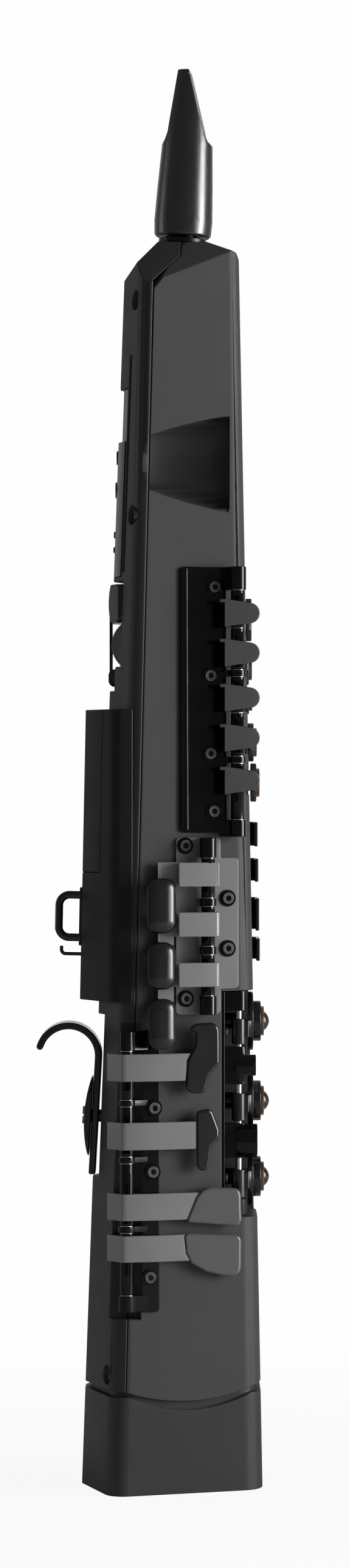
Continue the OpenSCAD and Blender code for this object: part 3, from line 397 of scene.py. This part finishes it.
def rounded_copy(node, material, width, segments=2, where=None, parts=(), soft=None, dome=None,
                 extra=None):
    """A CAD node with rounded edges, and with further materials where their tests say so.

    where tests the edges that are rounded. parts holds pairs of a material and a test of a face.
    soft is a wider radius and the test of the edges that take it first. dome is the test of the
    faces that are domed, and extra adds to the mesh before its edges are rounded.
    """
    bm = merged_copy(node)
    if extra:
        extra(bm)
    if dome:
        raise_domes(bm, dome)
    if soft:
        round_edges(bm, soft[0], SOFT_STEPS, soft[1])
    round_edges(bm, width, segments, where)
    for face in bm.faces:
        for index, (_, test) in enumerate(parts, 1):
            if test(face):
                face.material_index = index
    return finish_piece(bm, node + "_piece", node, [material, *(name for name, _ in parts)])


# Foot of the body and its height, in mm
BODY_FOOT = 43.5
BODY_TALL = 550.5
# Share of the full section at the body's foot, and what it loses up to the top
FOOT_SHARE = 0.9728
SHARE_LOSS = 0.3466
# Flat side of the cases: its distance in mm from the middle plane at the full section, its slope
# along Y, the upward part of its normal, and the shift in mm of the section from foot to top
SIDE_HALF = 36.92
SIDE_SLOPE = 0.3153
SIDE_RISE = 0.0207
BODY_LEAN = 4.42


def body_level(z):
    """Place of a height between the foot of the body, 0, and its top, 1."""
    return (z - BODY_FOOT) / BODY_TALL


def body_share(z):
    """Share of the full section at a height."""
    return FOOT_SHARE - SHARE_LOSS * body_level(z)


def side_face(y, z):
    """Distance in mm of the cases' flat side from the middle plane."""
    return SIDE_HALF * body_share(z) + SIDE_SLOPE * (y + BODY_LEAN * body_level(z))


def carry(bm, matrix):
    bmesh.ops.transform(bm, matrix=matrix, verts=bm.verts)


def lathe(profile):
    """Spins a profile of radius and height in mm round +Z."""
    bm = bmesh.new()
    verts = [bm.verts.new((r * MM, 0, z * MM)) for r, z in profile]
    edges = [bm.edges.new(pair) for pair in zip(verts, verts[1:])]
    bmesh.ops.spin(bm, geom=verts + edges, cent=(0, 0, 0), axis=(0, 0, 1), angle=math.tau,
                   steps=SPIN_STEPS, use_merge=True)
    bmesh.ops.remove_doubles(bm, verts=bm.verts, dist=SPUN_MERGE * MM)
    bmesh.ops.recalc_face_normals(bm, faces=bm.faces)
    return bm


def join(bm, other):
    """Adds another bmesh to this one and frees it."""
    mesh = bpy.data.meshes.new("scrap")
    other.to_mesh(mesh)
    other.free()
    bm.from_mesh(mesh)
    bpy.data.meshes.remove(mesh)


class Operator(bpy.types.Operator):
    bl_options = {"REGISTER", "UNDO"}


# Hand scoops in mm: heights, span along Y, and how deep and shallow their faces lie in the side
SCOOP = (463, 513)
SCOOP_SPAN = (-27.2, 17)
SCOOP_DEPTHS = (9, 0.25)
# Skin of the battery housing in mm: its heights, least Y and half width
BLOCK = (231.5, 371)
BLOCK_BACK = 21.5
BLOCK_HALF = 40
# The housing's ridge in mm: its foot and height, its Y at the foot, what that loses up to the top,
# and its half width
RIDGE_FOOT = 232
RIDGE_TALL = 138.4
RIDGE_BACK = 44.5
RIDGE_LOSS = 2.8
RIDGE_HALF = 8
# The housing's outer corners: half width in mm at the full section, run along X per mm along Y of
# the slope that leads to them, reach in mm of their test along X and Y, and their radius in mm
FLANK_HALF = 44
FLANK_RUN = 1.92
CORNER_REACH = (0.4, 0.6)
CORNER_ROUND = 4.0
# Radius in mm of the battery door's edges
DOOR_EDGE = 0.3
# Faces whose normal points further forward than this take a darker copy of their skin, painted
# shade
FRONT_NORMAL = -0.6


# Faces inside the scoops take a darker colour, painted shade of the recess
def in_scoop(p):
    side = side_face(p.y, p.z)
    return (SCOOP[0] < p.z < SCOOP[1] and SCOOP_SPAN[0] < p.y < SCOOP_SPAN[1]
            and side - SCOOP_DEPTHS[0] < abs(p.x) < side - SCOOP_DEPTHS[1])


def faces_front(face):
    return face.normal.y < FRONT_NORMAL


# The battery housing takes the door's darker colour, painted shade
def on_block(p):
    return BLOCK[0] < p.z < BLOCK[1] and p.y > BLOCK_BACK and abs(p.x) < BLOCK_HALF


def on_block_corner(p):
    """Outer upright corners of the battery housing."""
    ridge = RIDGE_BACK - RIDGE_LOSS * (p.z - RIDGE_FOOT) / RIDGE_TALL
    flank = FLANK_HALF * body_share(p.z)
    corner = ridge - (flank - RIDGE_HALF) / FLANK_RUN
    return (BLOCK[0] < p.z < BLOCK[1] and abs(abs(p.x) - flank) < CORNER_REACH[0]
            and abs(p.y - corner) < CORNER_REACH[1])


# Pieces that only get rounded edges, as finish and radius in mm, and segments if not two
NECK = {"neck_tube": ("collar black", 0.25), "neck_cork": ("cork", 0.4),
        "mouthpiece": ("mouthpiece gloss", 0.3)}
CONTROLS = {"control_panel": ("panel gloss", 0.2), "power_button": ("panel gloss", 0.15),
            "function_button": ("panel gloss", 0.15), "up_button": ("panel gloss", 0.15),
            "down_button": ("panel gloss", 0.15), "octave_key": ("touch gloss", 0.6),
            "thumb_rest": ("touch gloss", 0.8)}
CARRYING = {"thumb_hook": ("hook lacquer", 0.8, 3), "thumb_hook_clamp": ("touch gloss", 0.6),
            "strap_ring": ("hook lacquer", 0.2), "cable_hook": ("hook lacquer", 0.2)}
INSIDE = {"jack_sockets": ("steel", 0.15), "main_board": ("board", 0.1),
          "breath_sensor": ("steel", 0.3), "speaker": ("felt", 0.5),
          "battery_cells": ("cell sleeve", 0.4)}


def rounded_copies(pieces):
    for node, settings in pieces.items():
        rounded_copy(node, *settings)


class WINDCTL_OT_cases(Operator):
    """Front and rear case and battery door with softened edges"""
    bl_idname = "windctl.cases"
    bl_label = "Cases"

    def execute(self, context):
        width = context.scene.windctl_sizes.case_edge / MM
        # The rear case and the front shell's forward faces take a darker copy of the case skin,
        # painted shade
        rounded_copy("front_shell", "case skin", width,
                     parts=[("case painted shade", faces_front), ("scoop painted shade", centred(in_scoop))])
        rounded_copy("rear_shell", "case painted shade", width,
                     parts=[("scoop painted shade", centred(in_scoop)), ("door painted shade", centred(on_block))],
                     soft=(CORNER_ROUND, on_block_corner))
        rounded_copy("battery_door", "door painted shade", DOOR_EDGE)
        return {"FINISHED"}


class WINDCTL_OT_bell(Operator):
    """Bell with softened rims"""
    bl_idname = "windctl.bell"
    bl_label = "Bell"

    def execute(self, context):
        # Forward faces of the bell take a darker copy of its skin, painted shade
        rounded_copy("bell", "bell skin", context.scene.windctl_sizes.case_edge / MM,
                     parts=[("bell front painted shade", faces_front)])
        return {"FINISHED"}


class WINDCTL_OT_neck(Operator):
    """Mouthpiece, cork sleeve, and neck tube with its collar"""
    bl_idname = "windctl.neck"
    bl_label = "Neck"

    def execute(self, context):
        rounded_copies(NECK)
        return {"FINISHED"}


class WINDCTL_OT_controls(Operator):
    """Rear panel, its buttons, the octave key and the thumb rest"""
    bl_idname = "windctl.controls"
    bl_label = "Controls"

    def execute(self, context):
        rounded_copies(CONTROLS)
        return {"FINISHED"}


class WINDCTL_OT_carrying(Operator):
    """Thumb hook with its clamp, strap ring and cable hook"""
    bl_idname = "windctl.carrying"
    bl_label = "Hook and ring"

    def execute(self, context):
        rounded_copies(CARRYING)
        return {"FINISHED"}


# Axes of the hinge rods as X and Y, and radius of the key tubes on them, in mm
UPPER_ROD = (-26.5, -30.8)
SIDE_ROD = (-32.5, -16.7)
LOW_ROD = (-41.5, 21.7)
PALM_ROD = (31.5, -12.4)
TABLE_ROD = (26.5, -29.8)
TUBE_R = 3.45


def near_rod(rod, radius=TUBE_R, lift=-math.inf):
    """A test of faces that lie wholly round a rod, and at least lift off the flat side."""
    def test(face):
        points = [v.co / MM for v in face.verts]
        return all(math.hypot(p.x - rod[0], p.y - rod[1]) < radius
                   and abs(p.x) - side_face(p.y, p.z) > lift for p in points)
    return test


# The clamp's screw is the only frame screw behind this Y, in mm
COIN_SCREW = 35.0
# Radius of the posts, thickness of the frames' plates, and height over a plate from which a face
# counts as a post's, in mm
POST_R = 5.2
PLATE_T = 1.52
PLATE_CLEAR = 0.2
# Frame screws as side, Y and Z in mm
SCREWS = [
    (-1, -19.3, 428.5), (-1, -17.3, 386.4), (-1, -17.3, 349.4), (-1, -19, 322),
    (-1, -5.4, 305.8), (-1, -25.6, 280.8), (-1, -25.6, 257), (-1, -5.7, 233.5),
    (-1, 9.3, 182.2), (-1, 10, 152.2), (-1, 11.3, 102.6),
    (1, -4, 456), (1, -4, 434), (1, -4, 382), (1, -12, 321), (1, -12, 244),
]
# Section of the dark rings round them, as radius and height over the plate in mm
CUP = ((2.9, -0.3), (3.95, -0.3), (3.95, 0.35), (3.7, 0.6), (3.15, 0.6), (2.9, 0.35), (2.9, -0.3))
# Dark disc at the floor of their hexagon sockets, painted shade of the socket, in mm: radius,
# thickness, and height over the flat side
SOCKET_SHADE_R = 1.36
SOCKET_SHADE_T = 0.3
SOCKET_SHADE_HEIGHT = 1.94


def on_side(side, y, z):
    """Matrix that puts the origin on the flat side face with +Z pointing outwards."""
    out = Vector((side, -SIDE_SLOPE, SIDE_RISE)).normalized()
    place = Vector((side * side_face(y, z), y, z)) * MM
    return Matrix.Translation(place) @ out.to_track_quat("Z", "Y").to_matrix().to_4x4()


def screw_cups():
    """Raised dark ring round each frame screw, and a dark disc in its hexagon socket as painted
    shade.
    """
    bm = bmesh.new()
    for side, y, z in SCREWS:
        ring = lathe([(radius, PLATE_T + height) for radius, height in CUP])
        carry(ring, on_side(side, y, z))
        join(bm, ring)
        # A dark hexagon disc in the socket, painted shade
        floor = bmesh.new()
        bmesh.ops.create_cone(floor, cap_ends=True, segments=6, radius1=SOCKET_SHADE_R * MM,
                              radius2=SOCKET_SHADE_R * MM, depth=SOCKET_SHADE_T * MM,
                              matrix=Matrix.Translation((0, 0, SOCKET_SHADE_HEIGHT * MM)))
        carry(floor, on_side(side, y, z))
        join(bm, floor)
    finish_piece(bm, "screw_cups_piece", "frame_screws", ["frame lacquer"], replace=False)


# Heights in mm of the joints between posts and key tubes along each rod
ROD_JOINTS = {
    UPPER_ROD: (318.15, 344.85, 348.15, 368.7, 385.85, 389.15, 408.85, 426.85),
    SIDE_ROD: (235.05, 254.35, 258.45, 277.15, 281.15, 300.05),
    LOW_ROD: (94.55, 123.85, 127.15, 156.55, 159.75, 183.25, 186.45, 209.35),
}


# Section of a washer in those joints, as radius and height in mm
WASHER = ((1.53, -0.11), (3.2, -0.11), (3.2, 0.11), (1.53, 0.11), (1.53, -0.11))


def rod_washers():
    """Bright washers in the joints of the key rods."""
    bm = bmesh.new()
    for rod, heights in ROD_JOINTS.items():
        for z in heights:
            washer = lathe(WASHER)
            carry(washer, Matrix.Translation(Vector((*rod, z)) * MM))
            join(bm, washer)
    finish_piece(bm, "rod_washers_piece", "hinge_rods", ["steel"], replace=False)


# Bead along the upper frame's plate: its ends as Y and Z, and its radius, in mm
BEAD = ((-6.9, 313.5), (-6.5, 437.0))
BEAD_R = 0.5


def plate_bead():
    """Thin bead along the plate of the upper frame."""
    ends = [Vector((-side_face(y, z) - PLATE_T, y, z)) * MM for y, z in BEAD]
    along = ends[1] - ends[0]
    bm = bmesh.new()
    turn = along.to_track_quat("Z", "Y").to_matrix().to_4x4()
    middle = Matrix.Translation((ends[0] + ends[1]) / 2)
    bmesh.ops.create_cone(bm, cap_ends=True, segments=20, radius1=BEAD_R * MM, radius2=BEAD_R * MM,
                          depth=along.length, matrix=middle @ turn)
    finish_piece(bm, "plate_bead_piece", "upper_frame", ["lobe satin"], replace=False)


# Rear edge of the upper frame's plate in mm: its Y, the reach of its test, its ends and its radius
PLATE_EDGE = -3.4
EDGE_REACH = 0.15
EDGE_ENDS = (312, 438)
EDGE_ROUND = 1.1
# Radii in mm of the edges of frames, rods and screws
FRAME_EDGE = 0.3
ROD_EDGE = 0.15
SCREW_EDGE = 0.2


def on_plate_edge(p):
    return abs(p.y - PLATE_EDGE) < EDGE_REACH and EDGE_ENDS[0] < p.z < EDGE_ENDS[1]


class WINDCTL_OT_frames(Operator):
    """Frames that carry the key rods, with the rods and screws"""
    bl_idname = "windctl.frames"
    bl_label = "Frames"

    def execute(self, context):
        for node in ("upper_frame", "low_frame", "front_frame", "left_frame"):
            rounded_copy(node, "frame lacquer", FRAME_EDGE, soft=(EDGE_ROUND, on_plate_edge))
        rounded_copy("side_frame", "plate satin with painted sheen", FRAME_EDGE,
                     parts=[("frame lacquer", near_rod(SIDE_ROD, POST_R, PLATE_T + PLATE_CLEAR))])
        rounded_copy("hinge_rods", "steel", ROD_EDGE)
        rounded_copy("frame_screws", "screw black", SCREW_EDGE,
                     parts=[("coin steel", centred(lambda p: p.y > COIN_SCREW))])
        screw_cups()
        rod_washers()
        plate_bead()
        rounded_copy("case_screws", "screw black", SCREW_EDGE)
        return {"FINISHED"}


UPPER_KEYS = ("front_f", "b", "bis", "a", "g")
STACK_KEYS = ("f", "e", "d")
SIDE_KEYS = ("side_e", "side_c", "side_b_flat", "palm_d", "palm_e_flat", "palm_f")
TABLE_KEYS = ("g_sharp", "c_sharp", "low_b", "low_b_flat")
# Rear edge of each low key's touch, in mm along Y, and its finish
LOW_TOUCHES = {"high_f_sharp": (-6.0, "touch gloss"), "f_sharp_trill": (-11.2, "touch gloss"),
               "low_e_flat": (-6.4, "touch satin with painted sheen"), "low_c": (-5.3, "touch satin with painted sheen")}
# How far behind that edge the finish still reaches, and radius of the touches' edges, in mm
TOUCH_REACH = 0.6
TOUCH_ROUND = 1.4
# Pill-shaped touches in mm: height over the flat side at which they start, how far under it edges
# are still rounded, and the front edge along Y of those on the side keys
PILL_LIFT = 6.4
RISER_CLEAR = 0.2
PILL_FRONT = -2.5
# Front face along Y of the rings round the lower pearls, and radius of the pearls' edges, in mm
RING_FACE = -43.75
PEARL_EDGE = 0.25


def on_pill(p):
    return abs(p.x) - side_face(p.y, p.z) > PILL_LIFT and (p.x > 0 or p.y > PILL_FRONT)


def above_riser(p):
    """Edges of a side key outside the riser that its touch hides, whose edges stay sharp."""
    return abs(p.x) - side_face(p.y, p.z) > PILL_LIFT - RISER_CLEAR


# Section in mm of the plate that covers the rod at a side key, as Y and height over the flat side.
# It stays outside the rod's bore and ends in front of the next key's touch.
COVER = ((-21.8, 9.1), (-21.8, 9.9), (-20.6, 10.6), (-12, 10.6), (-2.8, 10.4), (-2.8, 5.2),
         (-10.5, 8.4), (-13, 9.2))


# Where the flat face of a side key's arm is found, by its normal and its middle along Y in mm
ARM_NORMAL = -0.9
ARM_SPAN = (-14, -5)


def cover_rod(bm):
    """Flat plate of a side key's arm, which passes over the rod."""
    arms = [f for f in bm.faces if f.normal.x < ARM_NORMAL
            and ARM_SPAN[0] < f.calc_center_median().y / MM < ARM_SPAN[1]]
    arm = max(arms, key=lambda f: f.calc_area())
    ends = [v.co.z / MM for v in arm.verts]
    rings = []
    for z in (min(ends), max(ends)):
        rings.append([bm.verts.new(Vector((-side_face(y, z) - lift, y, z)) * MM)
                      for y, lift in COVER])
    count = len(COVER)
    faces = [bm.faces.new(rings[0]), bm.faces.new(reversed(rings[1]))]
    faces += [bm.faces.new((rings[0][i], rings[1][i], rings[1][(i + 1) % count],
                            rings[0][(i + 1) % count])) for i in range(count)]
    bmesh.ops.recalc_face_normals(bm, faces=faces)


class WINDCTL_OT_keys(Operator):
    """All key levers with their touches, and the pearls"""
    bl_idname = "windctl.keys"
    bl_label = "Keys"

    def execute(self, context):
        width = context.scene.windctl_sizes.key_edge / MM
        for name in UPPER_KEYS:
            rounded_copy(name + "_key", "lobe satin", width,
                         parts=[("frame lacquer", near_rod(UPPER_ROD))])
        for name in STACK_KEYS:
            rounded_copy(name + "_key", "touch gloss", width)
            rounded_copy(name + "_pearl", "pearl horn", PEARL_EDGE,
                         parts=[("touch gloss", centred(lambda p: p.y < RING_FACE))])
        for name in UPPER_KEYS[1:]:
            rounded_copy(name + "_pearl", "pearl horn", PEARL_EDGE)
        for name in SIDE_KEYS:
            palm = name.startswith("palm")
            rod = PALM_ROD if palm else SIDE_ROD
            rounded_copy(name + "_key", "lever satin with painted sheen", width, where=above_riser,
                         dome=centred(on_pill), extra=None if palm else cover_rod,
                         parts=[("frame lacquer", near_rod(rod)),
                                ("touch gloss", centred(on_pill))])
        for name, (edge, finish) in LOW_TOUCHES.items():
            def on_touch(p, edge=edge):
                return p.y < edge + TOUCH_REACH
            rounded_copy(name + "_key", "lever satin with painted sheen", width, soft=(TOUCH_ROUND, on_touch),
                         parts=[("frame lacquer", near_rod(LOW_ROD)),
                                (finish, centred(on_touch))])
        for name in TABLE_KEYS:
            rounded_copy(name + "_key", "touch gloss", width,
                         parts=[("frame lacquer", near_rod(TABLE_ROD))])
        return {"FINISHED"}


class WINDCTL_OT_inside(Operator):
    """Sockets, board, sensor, loudspeaker and cells inside the cases"""
    bl_idname = "windctl.inside"
    bl_label = "Inside"

    def execute(self, context):
        rounded_copies(INSIDE)
        return {"FINISHED"}


# Stage

CAMERA_PLACE = (-2.0, -0.0008, 0.335)
CAMERA_LENS = 95.6
SENSOR = 36.0
# Soft lamps as name, place and size in metres, and share of the key lamp's power
LAMPS = (("front lamp", (-0.5, -2.1, 0.62), (0.8, 1.2), 1.0),
         ("side lamp", (-1.2, -1.95, 0.45), (0.25, 1.3), 0.1),
         ("rear lamp", (0.35, 2.1, 0.62), (0.8, 1.2), 0.06))
LAMP_AIM = 0.4


def soft_lamp(name, place, size, power):
    light = bpy.data.lights.new(name, "AREA")
    light.shape = "RECTANGLE"
    light.size, light.size_y = size
    light.energy = power
    lamp = bpy.data.objects.new(name, light)
    lamp.location = place
    aim = Vector((0, 0, LAMP_AIM)) - Vector(place)
    lamp.rotation_euler = aim.to_track_quat("-Z", "Y").to_euler()
    bpy.context.scene.collection.objects.link(lamp)


# Floor: its roughness, the distances in metres over which it fades, and its share of white under
# the object
FLOOR_ROUGH = 0.7
FLOOR_FADE = (0.1, 0.5)
FLOOR_WHITE = 0.93


def floor_material(colour, backdrop):
    """Floor that fades into the white backdrop away from the object's own shadow."""
    material = bpy.data.materials.new("pale floor")
    material.use_nodes = True
    tree = material.node_tree
    shader = tree.nodes["Principled BSDF"]
    shader.inputs["Base Color"].default_value = (*colour, 1)
    shader.inputs["Roughness"].default_value = FLOOR_ROUGH
    seen = tree.nodes.new("ShaderNodeLightPath")
    white = tree.nodes.new("ShaderNodeEmission")
    white.inputs["Color"].default_value = (*backdrop, 1)
    place = tree.nodes.new("ShaderNodeTexCoord")
    far = tree.nodes.new("ShaderNodeVectorMath")
    far.operation = "LENGTH"
    tree.links.new(place.outputs["Object"], far.inputs[0])
    share = tree.nodes.new("ShaderNodeMath")
    share.operation = "MULTIPLY"
    tree.links.new(spread(tree, far.outputs["Value"], *FLOOR_FADE, FLOOR_WHITE), share.inputs[1])
    either = tree.nodes.new("ShaderNodeMath")
    either.operation = "MAXIMUM"
    tree.links.new(seen.outputs["Is Camera Ray"], either.inputs[0])
    tree.links.new(seen.outputs["Is Transmission Ray"], either.inputs[1])
    tree.links.new(either.outputs[0], share.inputs[0])
    mix = tree.nodes.new("ShaderNodeMixShader")
    tree.links.new(share.outputs[0], mix.inputs[0])
    tree.links.new(shader.outputs[0], mix.inputs[1])
    tree.links.new(white.outputs[0], mix.inputs[2])
    tree.links.new(mix.outputs[0], tree.nodes["Material Output"].inputs["Surface"])
    return material


# World in reflections: the directions along X between which it turns white, and its level before
WHITE_BEHIND = (0.6, 1.15)
DARK_AHEAD = 0.03


def studio_world(backdrop, fill):
    """White to the camera and in reflections of what is behind the object, a low fill elsewhere."""
    world = bpy.data.worlds.new("studio")
    world.use_nodes = True
    tree = world.node_tree
    background = tree.nodes["Background"]
    path = tree.nodes.new("ShaderNodeLightPath")
    seen = tree.nodes.new("ShaderNodeMath")
    seen.operation = "MAXIMUM"
    tree.links.new(path.outputs["Is Camera Ray"], seen.inputs[0])
    tree.links.new(path.outputs["Is Transmission Ray"], seen.inputs[1])
    place = tree.nodes.new("ShaderNodeTexCoord")
    split = tree.nodes.new("ShaderNodeSeparateXYZ")
    tree.links.new(place.outputs["Generated"], split.inputs[0])
    behind = spread(tree, split.outputs["X"], *WHITE_BEHIND, DARK_AHEAD)
    glossy = tree.nodes.new("ShaderNodeMath")
    glossy.operation = "MULTIPLY"
    tree.links.new(path.outputs["Is Glossy Ray"], glossy.inputs[0])
    tree.links.new(behind, glossy.inputs[1])
    either = tree.nodes.new("ShaderNodeMath")
    either.operation = "MAXIMUM"
    tree.links.new(seen.outputs[0], either.inputs[0])
    tree.links.new(glossy.outputs[0], either.inputs[1])
    tree.links.new(mix_colours(tree, either.outputs[0], (fill,) * 3, backdrop),
                   background.inputs["Color"])
    bpy.context.scene.world = world


class WINDCTL_OT_stage(Operator):
    """Pale floor, soft lamps, world and camera"""
    bl_idname = "windctl.stage"
    bl_label = "Stage"

    def execute(self, context):
        stage = context.scene.windctl_stage
        bm = bmesh.new()
        bmesh.ops.create_circle(bm, cap_ends=True, segments=96, radius=stage.floor_radius)
        mesh = bpy.data.meshes.new("floor")
        bm.to_mesh(mesh)
        bm.free()
        mesh.materials.append(floor_material(stage.floor_colour, stage.backdrop))
        floor = bpy.data.objects.new("floor", mesh)
        context.scene.collection.objects.link(floor)
        studio_world(stage.backdrop, stage.fill)
        for name, place, size, share in LAMPS:
            soft_lamp(name, place, size, stage.lamp_power * share)
        data = bpy.data.cameras.new("photo camera")
        data.lens = CAMERA_LENS
        data.sensor_width = SENSOR
        camera = bpy.data.objects.new("photo camera", data)
        camera.location = CAMERA_PLACE
        camera.rotation_euler = (math.radians(90), 0, math.radians(-90))
        context.scene.collection.objects.link(camera)
        context.scene.camera = camera
        context.scene.view_settings.view_transform = "Standard"
        return {"FINISHED"}


def colour_property(name, description, value):
    return bpy.props.FloatVectorProperty(
        name=name, description=description, subtype="COLOR", size=3, min=0.0, max=1.0,
        default=value)


class WindctlColours(bpy.types.PropertyGroup):
    case: colour_property("Front case", "Skin of the front case", (0.045, 0.045, 0.045))
    # The rear case colour is a darker copy of the case colour, painted shade, also used on the
    # front shell's forward faces
    rear: colour_property("Rear case", "Skin of the rear case", (0.03, 0.03, 0.03))
    # The scoop colour is darker as painted shade of the recess
    scoop: colour_property("Scoop", "Darker skin inside the hand scoops", (0.016, 0.016, 0.016))
    bell: colour_property("Bell", "Skin of the bell", (0.03, 0.03, 0.03))
    # The door colour is darker as painted shade on the battery door and housing
    door: colour_property("Battery door", "Skin of the battery door", (0.012, 0.012, 0.012))
    gloss: colour_property("Panel", "Rear panel and buttons", (0.008, 0.008, 0.009))
    mouthpiece: colour_property("Mouthpiece", "Polished mouthpiece", (0.007, 0.007, 0.007))
    frame: colour_property("Frames", "Lacquered key frames", (0.002, 0.002, 0.002))
    lobe: colour_property("Upper levers", "Satin lobes of the upper stack", (0.03, 0.03, 0.03))
    # The lever colour is lifted above its satin grey as painted sheen
    lever: colour_property("Levers", "Satin arms of the side and low keys", (0.17, 0.17, 0.17))
    # The side plate colour is lifted above its satin grey as painted sheen
    plate: colour_property("Side plate", "Plate under the side keys", (0.16, 0.16, 0.16))
    # The low touch colour is lifted above its grey as painted sheen
    satin: colour_property("Low touches", "Satin touches of the low keys", (0.08, 0.08, 0.08))
    touch: colour_property("Touches", "Glossy touches and hook", (0.006, 0.006, 0.006))
    steel: colour_property("Steel", "Bright rods", (0.6, 0.6, 0.6))
    coin: colour_property("Coin screw", "Brushed screw of the hook's clamp", (0.35, 0.35, 0.35))
    screw: colour_property("Screws", "Blackened screws", (0.12, 0.12, 0.12))
    collar: colour_property("Collar", "Blackened collar of the neck", (0.03, 0.03, 0.03))
    horn_dark: colour_property("Pearl, dark", "Dark streaks of the pearls", (0.05, 0.022, 0.008))
    horn_light: colour_property("Pearl, light", "Light streaks of the pearls", (0.2, 0.1, 0.035))


class WindctlSizes(bpy.types.PropertyGroup):
    case_edge: bpy.props.FloatProperty(
        name="Case edge", description="Radius on the edges of cases and bell", unit="LENGTH",
        default=0.5 * MM, min=0.1 * MM, max=1.0 * MM)
    key_edge: bpy.props.FloatProperty(
        name="Key edge", description="Radius on the edges of key levers", unit="LENGTH",
        default=0.45 * MM, min=0.1 * MM, max=0.8 * MM)


class WindctlStage(bpy.types.PropertyGroup):
    floor_colour: colour_property("Floor", "Colour of the floor", (0.9, 0.9, 0.9))
    backdrop: colour_property("Backdrop", "Colour of the background", (0.99, 0.99, 0.99))
    floor_radius: bpy.props.FloatProperty(
        name="Floor radius", description="Radius of the floor", unit="LENGTH", default=6.0, min=2.0)
    lamp_power: bpy.props.FloatProperty(
        name="Lamp power", description="Power of the key lamp, which the others follow",
        unit="POWER", default=56.0, min=0.0)
    fill: bpy.props.FloatProperty(
        name="Fill", description="Brightness of the world as it lights the object",
        default=0.15, min=0.0, max=1.0)


class WINDCTL_PT_panel(bpy.types.Panel):
    bl_label = "Wind Controller"
    bl_space_type = "VIEW_3D"
    bl_region_type = "UI"
    bl_category = "Wind Controller"

    def draw(self, context):
        for operator in OPERATORS:
            self.layout.operator(operator.bl_idname)


OPERATORS = (WINDCTL_OT_stage, WINDCTL_OT_cases, WINDCTL_OT_bell, WINDCTL_OT_neck,
             WINDCTL_OT_controls, WINDCTL_OT_carrying, WINDCTL_OT_frames, WINDCTL_OT_keys,
             WINDCTL_OT_inside)
SETTINGS = {"windctl_colours": WindctlColours, "windctl_sizes": WindctlSizes,
            "windctl_stage": WindctlStage}


def register():
    for cls in (*SETTINGS.values(), *OPERATORS, WINDCTL_PT_panel):
        bpy.utils.register_class(cls)
    for name, cls in SETTINGS.items():
        setattr(bpy.types.Scene, name, bpy.props.PointerProperty(type=cls))


def unregister():
    for name in SETTINGS:
        delattr(bpy.types.Scene, name)
    for cls in (WINDCTL_PT_panel, *reversed(OPERATORS), *SETTINGS.values()):
        bpy.utils.unregister_class(cls)


def main():
    register()
    build_groups()
    build_finishes(bpy.context.scene.windctl_colours)
    for operator in OPERATORS:
        group, name = operator.bl_idname.split(".")
        getattr(getattr(bpy.ops, group), name)()


if __name__ == "__main__":
    main()
